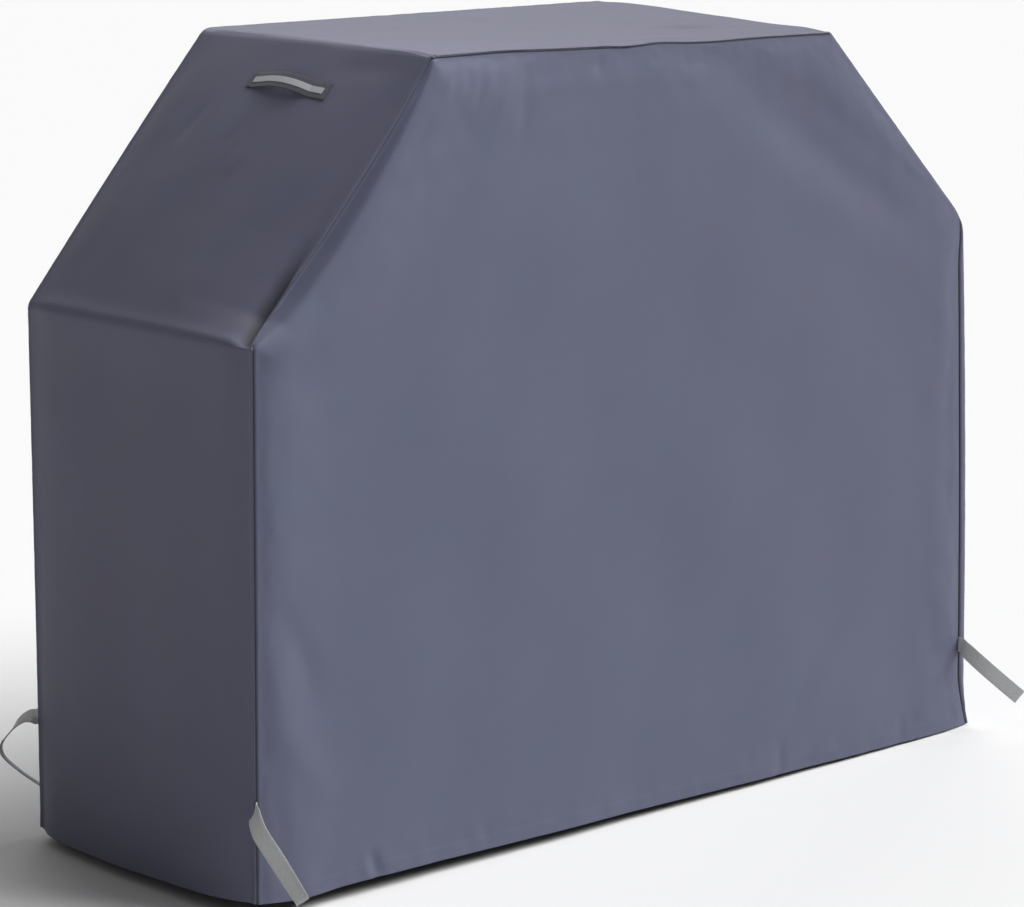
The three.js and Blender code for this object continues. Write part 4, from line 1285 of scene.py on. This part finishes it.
@dataclass
class TieStrap:
    """A loose strap of webbing from a seam near the hem.

    Attributes:
        end, side: The seam that it leaves.
        height: Height of its root in mm.
        route: Steps away from the root (x, y, z) with the direction of its width there.
        webbing: The ribbon.
        clearance: How far its root stands off the seam in mm.
        tuck: How far it runs back into the seam in mm.
        cells: Pieces along the ribbon.
        rows: The stations of its two rows of stitches, counted from the free end.
        stitch_aside: Distance of the stitches from its edges in mm.
    """

    end: End
    side: Side
    height: float
    route: tuple[tuple[Triple, Triple], ...]
    webbing: Ribbon = Ribbon(25, 1.7)
    clearance: float = 1.6
    tuck: float = 4.2
    cells: int = 64
    rows: tuple[int, int] = (4, 9)
    stitch_aside: float = 2

    @property
    def name(self) -> str:
        """The strap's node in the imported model."""
        return f"strap_{'front' if self.end is End.FRONT else 'rear'}_{self.side.name.lower()}"

    def build(self, profile: Profile) -> tuple[bpy.types.Object, list[Array]]:
        """Makes the strap.

        Args:
            profile: The band's profile at its end of the cover.

        Returns:
            The strap, and the lines of stitching at its free end.
        """
        seam, normal, _ = profile.corner_at(0)
        order = np.nonzero(np.sign(seam[:, 0]) == self.side.value)[0]
        order = order[np.argsort(seam[order, 2])]
        root, out = (np.array([np.interp(self.height, seam[order, 2], values[order, k]) for k in range(3)])
                     for values in (seam, normal))
        out = unit(out)
        root = root + out * self.clearance
        points = np.array([root, *(root + np.array(step) for step, _ in self.route)])
        across = np.array([(0, 0, 1), *(unit(np.array(way, float)) for _, way in self.route)], float)
        at = np.linspace(0, 1, self.cells + 1)
        centre, wide = through(points, at), through(across, at)
        tangent = unit(np.gradient(centre, axis=0))
        wide = unit(wide - (wide * tangent).sum(1)[:, None] * tangent)
        up = unit(np.cross(tangent, wide))
        centre = np.concatenate([[centre[0] - out * self.tuck], centre])
        wide, up = np.concatenate([wide[:1], wide]), np.concatenate([up[:1], up])
        underside = centre - up * self.webbing.thickness / 2
        strap = self.webbing.build(self.name.replace("strap", "tie"), underside, wide, up)
        return strap, self._stitching(centre, wide, up)

    def _stitching(self, centre: Array, wide: Array, up: Array) -> list[Array]:
        """Two rows of stitches across the free end, on both faces.

        Args:
            centre: The middle of the strap in mm.
            wide: Its directions across.
            up: Its directions up.

        Returns:
            The lines of stitching in mm.
        """
        aside = np.linspace(-1, 1, 8)[:, None] * (self.webbing.width / 2 - self.stitch_aside)
        lines = []
        for k in (len(centre) - row for row in self.rows):
            for face in (1, -1):
                lift = up[k] * face * (self.webbing.thickness / 2 + STITCH_LIFT)
                lines.append(centre[k] + lift + wide[k] * aside)
        return lines


STRAPS = (
    TieStrap(End.FRONT, Side.LEFT, -1025, (
        ((-7.5, -5, 0), (0.5, 0.1, 0.86)), ((-14.5, -14, -5), (0.55, -0.1, 0.83)),
        ((-21.5, -28, -13), (0.5, -0.4, 0.75)), ((-24, -38, -21), (0.52, -0.57, 0.64)),
        ((-20, -66, -50), (0.59, -0.58, 0.56)), ((-4, -107, -108), (0.27, -0.77, 0.58)),
    )),
    TieStrap(End.FRONT, Side.RIGHT, -1045, (
        ((0, -5, 0), (0, 0, 1)), ((-1, -15, -6), (0.15, -0.08, 0.98)), ((3, -31, -18), (0.35, -0.16, 0.93)),
        ((13, -52, -36), (0.52, -0.22, 0.83)), ((28, -73, -57), (0.6, -0.25, 0.76)),
        ((45, -94, -79), (0.62, -0.25, 0.75)),
    )),
    TieStrap(End.BACK, Side.LEFT, -996, (
        ((-3, 5, 0), (0.58, 0.62, 0.52)), ((-5, 19, -3), (0.62, 0.67, 0.4)),
        ((-11, 35, -15), (0.66, 0.71, 0.24)), ((-16, 44, -28), (0.68, 0.72, -0.1)),
        ((-23, 58, -48), (0.67, 0.72, -0.18)), ((-23, 62, -60), (0.67, 0.72, -0.2)),
        ((-16, 63, -75), (0.655, 0.725, -0.21)), ((4, 53, -98), (0.655, 0.725, -0.21)),
        ((34, 38, -125), (0.655, 0.725, -0.21)),
    )),
    TieStrap(End.BACK, Side.RIGHT, -1040, (
        ((8, 8, 0), (-0.18, 0.15, 0.97)), ((17, 20, -4), (-0.37, 0.56, 0.74)),
        ((22, 38, -20), (-0.55, 0.6, 0.58)), ((20, 60, -56), (-0.6, 0.58, 0.55)),
        ((10, 84, -112), (-0.5, 0.7, 0.5)),
    )),
)


# ---- stitching
@dataclass
class Stitching:
    """Runs of sewing thread, one short bead of thread for each stitch, laid by Geometry Nodes.

    Attributes:
        pitch: Usual distance from stitch to stitch in mm.
        length: Length of a stitch at that pitch in mm.
        thread: The thread's radius in mm.
        unevenness: The smallest and the largest stitch, as shares of its size.
        seed: The seed of its random sizes.
        tree: The node tree, once it is built.
    """

    pitch: float = 4.0
    length: float = 2.7
    thread: float = 0.24
    unevenness: Pair = (0.86, 1.1)
    seed: int = 5
    tree: bpy.types.NodeTree | None = None

    def make_tree(self) -> bpy.types.NodeTree:
        """Builds the tree that turns a path into stitches.

        Returns:
            The node tree, with named inputs for its sizes.
        """
        tree = bpy.data.node_groups.new("stitch_run", "GeometryNodeTree")
        for name, kind, value in (
            ("Path", "Geometry", None),
            ("Pitch", "Float", self.pitch * MM),
            ("Length", "Float", self.length * MM),
            ("Thread", "Float", self.thread * MM),
            ("Seed", "Int", self.seed),
            ("Finish", "Material", None),
        ):
            socket = tree.interface.new_socket(name, in_out="INPUT", socket_type="NodeSocket" + kind)
            if value is not None:
                socket.default_value = value
        tree.interface.new_socket("Stitches", in_out="OUTPUT", socket_type="NodeSocketGeometry")
        given = node(tree, "NodeGroupInput").outputs
        spaced = {"Curve": given["Path"], "Length": given["Pitch"]}
        spots = node(tree, "GeometryNodeResampleCurve", {}, spaced, mode="LENGTH")
        tangent = node(tree, "GeometryNodeInputTangent")
        turned = node(tree, "FunctionNodeAlignRotationToVector", {}, {"Vector": tangent.outputs[0]}, axis="X")
        bead = node(tree, "GeometryNodeMeshUVSphere", {"Segments": 8, "Rings": 5, "Radius": 1.0})
        half = node(tree, "ShaderNodeMath", {1: 0.5}, {0: given["Length"]}, operation="MULTIPLY")
        radius = given["Thread"]
        size = node(tree, "ShaderNodeCombineXYZ", {}, {0: half.outputs[0], 1: radius, 2: radius})
        stretched = {"Geometry": bead.outputs["Mesh"], "Scale": size.outputs[0]}
        shaped = node(tree, "GeometryNodeTransform", {}, stretched)
        varied = node(tree, "FunctionNodeRandomValue", {2: self.unevenness[0], 3: self.unevenness[1]},
                      {"Seed": given["Seed"]}, data_type="FLOAT")
        placed = node(tree, "GeometryNodeInstanceOnPoints", {}, {
            "Points": spots.outputs[0], "Instance": shaped.outputs[0], "Rotation": turned.outputs[0],
            "Scale": varied.outputs[1],
        })
        real = node(tree, "GeometryNodeRealizeInstances", {}, {"Geometry": placed.outputs[0]})
        coloured = {"Geometry": real.outputs[0], "Material": given["Finish"]}
        dyed = node(tree, "GeometryNodeSetMaterial", {}, coloured)
        even = node(tree, "GeometryNodeSetShadeSmooth", {}, {"Geometry": dyed.outputs[0]})
        node(tree, "NodeGroupOutput", {}, {0: even.outputs[0]})
        return tree

    def run(self, name: str, lines: list[Array], finish: bpy.types.Material,
            pitch: float) -> bpy.types.Object:
        """Lays stitches along lines.

        Args:
            name: The new object's name.
            lines: The lines in mm.
            finish: The thread's material.
            pitch: Distance from stitch to stitch in mm.

        Returns:
            The stitches as one piece.
        """
        self.tree = self.tree or self.make_tree()
        curve = bpy.data.curves.new(name + "_path", "CURVE")
        curve.dimensions = "3D"
        for line in lines:
            spline = curve.splines.new("POLY")
            spline.points.add(len(line) - 1)
            spline.points.foreach_set("co", np.concatenate([line * MM, np.ones((len(line), 1))], 1).ravel())
        path = add_object(name + "_path", curve)
        modifier = path.modifiers.new("stitches", "NODES")
        modifier.node_group = self.tree
        sockets = {s.name: s.identifier for s in self.tree.interface.items_tree if s.in_out == "INPUT"}
        modifier[sockets["Pitch"]] = pitch * MM
        modifier[sockets["Length"]] = pitch * MM * self.length / self.pitch
        modifier[sockets["Finish"]] = finish
        graph = bpy.context.evaluated_depsgraph_get()
        mesh = bpy.data.meshes.new_from_object(path.evaluated_get(graph), depsgraph=graph)
        mesh.name = name
        bpy.data.objects.remove(path)
        bpy.data.curves.remove(curve)
        return add_object(name, mesh)


# ---- finishes
def set_inputs(made: bpy.types.Node, values: dict) -> None:
    """Sets the values of a node's sockets, by name or index."""
    for key, value in values.items():
        made.inputs[key].default_value = value


def node(tree: bpy.types.NodeTree, kind: str, values: dict | None = None, links: dict | None = None,
         **settings: object) -> bpy.types.Node:
    """Adds a node.

    Args:
        tree: The tree that it joins.
        kind: The node's type.
        values: Values of its sockets, by name or index.
        links: Sockets that feed its own, by name or index.
        settings: The node's own properties.

    Returns:
        The node.
    """
    made = tree.nodes.new(kind)
    for name, value in settings.items():
        setattr(made, name, value)
    set_inputs(made, values or {})
    for key, source in (links or {}).items():
        tree.links.new(source, made.inputs[key])
    return made


def new_material(name: str) -> tuple[bpy.types.Material, bpy.types.NodeTree, bpy.types.Node]:
    """Makes a material with its shader.

    Args:
        name: The material's name.

    Returns:
        The material, its node tree, and the shader in it.
    """
    material = bpy.data.materials.new(name)
    material.use_nodes = True
    return material, material.node_tree, material.node_tree.nodes["Principled BSDF"]


@dataclass(frozen=True)
class CoatedOxford:
    """Solution-dyed polyester oxford with a thin coating: a matt plain weave with a faint satin sheen.

    Attributes:
        name: The material's name.
        base, cool, warm: sRGB hex colours of the cloth and of its faint clouds.
        roughness: Roughness of its face.
        thread: Spacing of the yarns in mm. The real ones lie about 0.6 mm apart; they are drawn a little
            coarser, so that they show at all close up.
        relief: Height of the weave's relief in mm.
        sheen, specular: Strength of its satin sheen and of its reflections.
        clouded: How much the clouds tint the base colour.
        groove: The share of its colour that the painted shade leaves at the bottom of a seam's groove.
    """

    name: str
    base: str
    cool: str
    warm: str
    roughness: float = 0.6
    thread: float = 1.0
    relief: float = 0.05
    sheen: float = 0.1
    specular: float = 0.35
    clouded: float = 0.45
    groove: float = 0.22

    def build(self) -> bpy.types.Material:
        """Makes the material.

        Returns:
            The material.
        """
        material, tree, shader = new_material(self.name)
        place = node(tree, "ShaderNodeTexCoord")
        uv = place.outputs["UV"]
        # slow clouds of slightly cooler and warmer cloth, about 90 mm across
        clouds = node(tree, "ShaderNodeTexNoise", {"Scale": 11.0, "Detail": 2.0, "Roughness": 0.5},
                      {"Vector": place.outputs["Object"]})
        tint = node(tree, "ShaderNodeMix", {6: linear(self.cool), 7: linear(self.warm)},
                    {0: clouds.outputs[0]}, data_type="RGBA")
        cloth = node(tree, "ShaderNodeMix", {0: self.clouded, 6: linear(self.base)}, {7: tint.outputs[2]},
                     data_type="RGBA")
        # uneven yarn, 3 mm long flecks
        fleck = node(tree, "ShaderNodeTexNoise", {"Scale": 420.0, "Detail": 1.0}, {"Vector": uv})
        shade = node(tree, "ShaderNodeMapRange", {1: 0.3, 2: 0.7, 3: 0.965, 4: 1.035}, {0: fleck.outputs[0]})
        dusted = node(tree, "ShaderNodeMix", {0: 1.0}, {6: cloth.outputs[2], 7: shade.outputs[0]},
                      data_type="RGBA", blend_type="MULTIPLY")
        # painted shade: the two layers turn in at the seam, and the shade in its groove and in the slope's fold
        # beside it is painted into the colour
        distance = node(tree, "ShaderNodeAttribute", attribute_name="seam_shade_mm")
        shades = {1: GROOVE_DARK, 2: GROOVE_DARK + GROOVE_SHADED, 3: self.groove, 4: 1.0}
        groove = node(tree, "ShaderNodeMapRange", shades, {0: distance.outputs["Fac"]})
        sewn = node(tree, "ShaderNodeMix", {0: 1.0}, {6: dusted.outputs[2], 7: groove.outputs[0]},
                    data_type="RGBA", blend_type="MULTIPLY")
        tree.links.new(sewn.outputs[2], shader.inputs["Base Color"])
        bump = node(tree, "ShaderNodeBump", {"Strength": 0.6, "Distance": self.relief * MM},
                    {"Height": self._weave(tree, uv)})
        tree.links.new(bump.outputs[0], shader.inputs["Normal"])
        set_inputs(shader, {"Roughness": self.roughness, "Specular IOR Level": self.specular,
                            "Sheen Weight": self.sheen, "Sheen Roughness": 0.45})
        return material

    def _weave(self, tree: bpy.types.NodeTree, uv: bpy.types.NodeSocket) -> bpy.types.NodeSocket:
        """A plain weave: warp and weft pass over each other by turns.

        Args:
            tree: The material's tree.
            uv: The socket that gives the place on the flat cloth.

        Returns:
            The socket with the height of the yarns.
        """
        turns = TAU / (self.thread * MM) / 2
        parts = node(tree, "ShaderNodeSeparateXYZ", {}, {0: uv})
        waves = []
        for k in (0, 1):
            phase = node(tree, "ShaderNodeMath", {1: turns}, {0: parts.outputs[k]}, operation="MULTIPLY")
            waves.append(node(tree, "ShaderNodeMath", {}, {0: phase.outputs[0]}, operation="SINE").outputs[0])
        crossed = node(tree, "ShaderNodeMath", {}, {0: waves[0], 1: waves[1]}, operation="MULTIPLY")
        return crossed.outputs[0]


@dataclass(frozen=True)
class WovenWebbing:
    """Woven polyester webbing: close ribs across a thick ribbon, with a firm selvedge at both edges, painted
    darker there as shade.

    Attributes:
        name: The material's name.
        base, edge: sRGB hex colours of its face, and of its selvedges painted darker as shade.
        width: The ribbon's width in mm.
        rib: Spacing of the ribs in mm. Real ones lie 1.3 mm apart; they are drawn a little coarser, so that
            they show.
        roughness: Roughness of its face.
        relief: Height of the ribs in mm.
        selvedge: Width of the selvedges in mm.
        sheen: Strength of its sheen.
        chevron: Width of the chevrons that the ribs make, in mm.
        lean: How far the ribs lean in them.
    """

    name: str
    base: str
    edge: str
    width: float
    rib: float = 1.5
    roughness: float = 0.8
    relief: float = 0.25
    selvedge: float = 1.6
    sheen: float = 0.1
    chevron: float = 4
    lean: float = 0.35

    def build(self) -> bpy.types.Material:
        """Makes the material.

        Returns:
            The material.
        """
        material, tree, shader = new_material(self.name)
        place = node(tree, "ShaderNodeTexCoord")
        uv = place.outputs["UV"]
        parts = node(tree, "ShaderNodeSeparateXYZ", {}, {0: uv})
        across, length = parts.outputs[0], parts.outputs[1]
        # small chevrons: ribs across that lean to and fro along the width
        lean = node(tree, "ShaderNodeMath", {1: self.chevron * MM}, {0: across}, operation="PINGPONG")
        skewed = node(tree, "ShaderNodeMath", {1: self.lean}, {0: lean.outputs[0]}, operation="MULTIPLY")
        along = node(tree, "ShaderNodeMath", {}, {0: length, 1: skewed.outputs[0]}, operation="ADD")
        turns = TAU / (self.rib * MM)
        phase = node(tree, "ShaderNodeMath", {1: turns}, {0: along.outputs[0]}, operation="MULTIPLY")
        ribs = node(tree, "ShaderNodeMath", {}, {0: phase.outputs[0]}, operation="SINE")
        # painted shade along the selvedge, from its inner line to just inside the ribbon's edge
        half = self.width / 2 * MM
        offset = node(tree, "ShaderNodeMath", {1: half}, {0: across}, operation="SUBTRACT")
        aside = node(tree, "ShaderNodeMath", {}, {0: offset.outputs[0]}, operation="ABSOLUTE")
        firm = {1: half - self.selvedge * MM, 2: half - 0.3 * MM, 3: 0.0, 4: 1.0}
        hem = node(tree, "ShaderNodeMapRange", firm, {0: aside.outputs[0]})
        # uneven yarn, with flecks 4 mm long
        wear = node(tree, "ShaderNodeTexNoise", {"Scale": 260.0, "Detail": 2.0}, {"Vector": uv})
        shade = node(tree, "ShaderNodeMapRange", {1: 0.3, 2: 0.7, 3: 0.93, 4: 1.07}, {0: wear.outputs[0]})
        dyed = node(tree, "ShaderNodeMix", {6: linear(self.base), 7: linear(self.edge)}, {0: hem.outputs[0]},
                    data_type="RGBA")
        # painted shade in the ribs' hollows and painted highlight on their crests
        rib_shade = node(tree, "ShaderNodeMapRange", {1: -1.0, 2: 1.0, 3: 0.86, 4: 1.06}, {0: ribs.outputs[0]})
        both = {0: shade.outputs[0], 1: rib_shade.outputs[0]}
        shaded = node(tree, "ShaderNodeMath", {}, both, operation="MULTIPLY")
        coloured = node(tree, "ShaderNodeMix", {0: 1.0}, {6: dyed.outputs[2], 7: shaded.outputs[0]},
                        data_type="RGBA", blend_type="MULTIPLY")
        tree.links.new(coloured.outputs[2], shader.inputs["Base Color"])
        bump = node(tree, "ShaderNodeBump", {"Strength": 0.7, "Distance": self.relief * MM},
                    {"Height": ribs.outputs[0]})
        tree.links.new(bump.outputs[0], shader.inputs["Normal"])
        set_inputs(shader, {"Roughness": self.roughness, "Specular IOR Level": 0.3, "Sheen Weight": self.sheen})
        return material


@dataclass(frozen=True)
class SewingThread:
    """Bonded polyester thread: fine, slightly glossy, close to the cloth's own colour.

    Attributes:
        name: The material's name.
        base: Its sRGB hex colour.
        roughness: Its roughness.
    """

    name: str
    base: str
    roughness: float = 0.5

    def build(self) -> bpy.types.Material:
        """Makes the material.

        Returns:
            The material.
        """
        material, tree, shader = new_material(self.name)
        place = node(tree, "ShaderNodeTexCoord")
        # the twist's light and shade, about 1 mm long
        twist = node(tree, "ShaderNodeTexNoise", {"Scale": 900.0, "Detail": 0.0},
                     {"Vector": place.outputs["Object"]})
        shade = node(tree, "ShaderNodeMapRange", {1: 0.3, 2: 0.7, 3: 0.85, 4: 1.1}, {0: twist.outputs[0]})
        dyed = node(tree, "ShaderNodeMix", {0: 1.0, 6: linear(self.base)}, {7: shade.outputs[0]},
                    data_type="RGBA", blend_type="MULTIPLY")
        tree.links.new(dyed.outputs[2], shader.inputs["Base Color"])
        set_inputs(shader, {"Roughness": self.roughness})
        return material


@dataclass(frozen=True)
class Studio:
    """The camera at the photograph's view, a pale floor and soft lights.

    Attributes:
        eye, aim, lens: The camera's place and target in metres, and its focal length in mm.
        floor_gap: How far the floor lies below the lowest hem in metres.
        floor_reach: How far it reaches from the middle in metres.
        floor_tone: The floor's grey, linear.
        ambient: Strength of the even light from all round.
        lamps: Name, direction towards the light, strength and angular size in degrees of each soft light.
        box_size, box_power: Size in metres and power in watts of the softbox over the left slope.
        box_at, box_aim: Its place and target in metres.
    """

    eye: Triple = (-4.21721, -4.64378, 0.70289)
    aim: Triple = (-0.0173, 0, -0.6563)
    lens: float = 145.16
    floor_gap: float = 0.0006
    floor_reach: float = 30.0
    floor_tone: float = 0.68
    ambient: float = 0.205
    lamps: tuple[tuple[str, Triple, float, float], ...] = (
        ("key", (0.6, -0.39, 0.7), 4.75, 50),
        ("rim", (0.45, 0.62, 0.6), 0.75, 40),
    )
    box_size: float = 0.3
    box_power: float = 2.8
    box_at: Triple = (-0.5, -0.42, 0.72)
    box_aim: Triple = (-0.42, 0.05, -0.05)

    def camera(self) -> None:
        """Places the camera."""
        lens = bpy.data.cameras.new("camera")
        lens.lens, lens.sensor_width, lens.clip_end = self.lens, 36, 100
        camera = add_object("camera", lens)
        camera.location = self.eye
        camera.rotation_euler = (Vector(self.aim) - Vector(self.eye)).to_track_quat("-Z", "Y").to_euler()
        bpy.context.scene.camera = camera

    def floor(self, level: float) -> None:
        """Lays the floor.

        Args:
            level: Height of the lowest hem in metres.
        """
        mesh = bpy.data.meshes.new("floor")
        reach, z = self.floor_reach, level - self.floor_gap
        corners = [(-reach, -reach, z), (reach, -reach, z), (reach, reach, z), (-reach, reach, z)]
        mesh.from_pydata(corners, [], [(0, 1, 2, 3)])
        floor = add_object("floor", mesh)
        # a matt painted ground, which gives soft light back
        material, _, shader = new_material("pale_floor")
        paint = (*[self.floor_tone] * 3, 1)
        set_inputs(shader, {"Base Color": paint, "Roughness": 0.9, "Specular IOR Level": 0.1})
        mesh.materials.append(material)
        floor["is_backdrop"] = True

    def lights(self) -> None:
        """Hangs the lights and sets the faint surroundings."""
        scene = bpy.context.scene
        scene.view_settings.view_transform = "Standard"  # keeps the colours of the finishes as they are named
        world = bpy.data.worlds.new("surroundings")
        world.use_nodes = True
        set_inputs(world.node_tree.nodes["Background"], {"Color": (1, 1, 1, 1), "Strength": self.ambient})
        scene.world = world
        for name, towards, power, spread in self.lamps:
            lamp = bpy.data.lights.new(name, "SUN")
            lamp.energy, lamp.angle = power, math.radians(spread)
            add_object(name, lamp).rotation_euler = Vector(towards).to_track_quat("Z", "Y").to_euler()
        softbox = bpy.data.lights.new("softbox", "AREA")
        softbox.size, softbox.energy = self.box_size, self.box_power
        light = add_object("softbox", softbox)
        light.location = self.box_at
        light.rotation_euler = (Vector(self.box_aim) - light.location).to_track_quat("-Z", "Y").to_euler()


# ---- the whole cover
# Distances from stitch to stitch in mm
HEM_PITCH, HANDLE_PITCH, TIE_PITCH = 4.0, 3.0, 2.6
PANELS = (
    Panel(End.FRONT, 4, 5, 0, (-655, 4), ((4.5, 8.0), (2.2, 2.0)), FRONT_CREASES),
    Panel(End.BACK, 5, 8, 4, (640, 4), ((3.0, 3.5), (3.0, 4.5)), BACK_CREASES),
)


@dataclass
class Cover:
    """Builds and dresses the cover's pieces.

    Attributes:
        finishes: Its materials by name.
        sewing: What lays the stitches.
    """

    finishes: dict[str, bpy.types.Material] = field(default_factory=dict)
    sewing: Stitching = field(default_factory=Stitching)

    def dye(self) -> None:
        """Makes every finish once."""
        for finish in (
            CoatedOxford("band_oxford", "535367", "50576b", "585264"),
            CoatedOxford("panel_oxford", "525569", "4e576e", "58556a"),
            CoatedOxford("coated_inside", "4e505f", "4c505e", "51505f", 0.7, relief=0.03, sheen=0.05),
            WovenWebbing("handle_webbing", "494a52", "36373f", 28),
            WovenWebbing("pale_tape", "a0a1a6", "8e8f96", 10.5, 0.8, 0.45, relief=0.06, selvedge=0.6),
            WovenWebbing("strap_webbing", "b8b9ba", "a3a4a6", 25),
            SewingThread("slate_thread", "4c4e5c"),
            SewingThread("grey_thread", "9a9b9d"),
        ):
            self.finishes[finish.name] = finish.build()

    def dress(self, piece: bpy.types.Object, slot: str, finishes: tuple[str, ...], *nodes: str) -> None:
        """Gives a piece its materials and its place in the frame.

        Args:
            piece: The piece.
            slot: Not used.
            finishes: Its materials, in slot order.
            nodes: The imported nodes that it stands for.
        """
        piece.data.materials.clear()
        for name in finishes:
            piece.data.materials.append(self.finishes[name])
        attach(piece, "root")
        if nodes:
            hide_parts(*nodes)
        LOG.info("%s: %d faces", piece.name, len(piece.data.polygons))

    def build(self) -> None:
        """Builds every piece in order."""
        self.dye()
        band = Band()
        sheet = band.build()
        self.dress(sheet, "band_cloth", ("band_oxford", "coated_inside"), "side_top_band")
        hems = [band.grid[STITCHED_ROW], band.grid[-1 - STITCHED_ROW]]
        sewn = self.stitch("band_hem_stitches", hems, "slate_thread", "band_cloth", HEM_PITCH)
        for panel in PANELS:
            name = panel.end.name.lower()
            piece = panel.build(band.ends[panel.end])
            self.dress(piece, "panel_cloth", ("panel_oxford", "coated_inside"), f"{name}_panel")
            hems = [panel.grid[STITCHED_ROW]]
            sewn = self.stitch(f"{name}_hem_stitches", hems, "slate_thread", "panel_cloth", HEM_PITCH)
        for side in Side:
            webbing, tape, lines = Handle(side).build(band)
            name = f"handle_{side.name.lower()}"
            self.dress(webbing, "handle_webbing", ("handle_webbing",), name)
            self.dress(tape, "pale_tape", ("pale_tape",), f"{name}_tape")
            sewn = self.stitch(f"{name}_stitches", lines, "slate_thread", "handle_webbing", HANDLE_PITCH)
        for strap in STRAPS:
            piece, lines = strap.build(band.ends[strap.end])
            self.dress(piece, "strap_webbing", ("strap_webbing",), strap.name)
            sewn = self.stitch(f"{piece.name}_stitches", lines, "grey_thread", "strap_webbing", TIE_PITCH)

    def stitch(self, name: str, lines: list[Array], thread: str, slot: str, pitch: float) -> bpy.types.Object:
        """Sews along lines and dresses the stitches.

        Args:
            name: The stitches' name.
            lines: The lines in mm.
            thread: The thread's material.
            slot: The record's material slot.
            pitch: Distance from stitch to stitch in mm.

        Returns:
            The stitches as one piece.
        """
        piece = self.sewing.run(name, lines, self.finishes[thread], pitch)
        self.dress(piece, slot, (thread,))
        return piece


def main() -> None:
    """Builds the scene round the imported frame."""
    logging.basicConfig(level=logging.INFO, format="%(message)s")
    studio = Studio()
    studio.camera()
    Cover().build()
    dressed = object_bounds()
    studio.floor(min(dressed[0][2], CAD_BOX[0][2]))
    studio.lights()


if __name__ == "__main__":
    main()
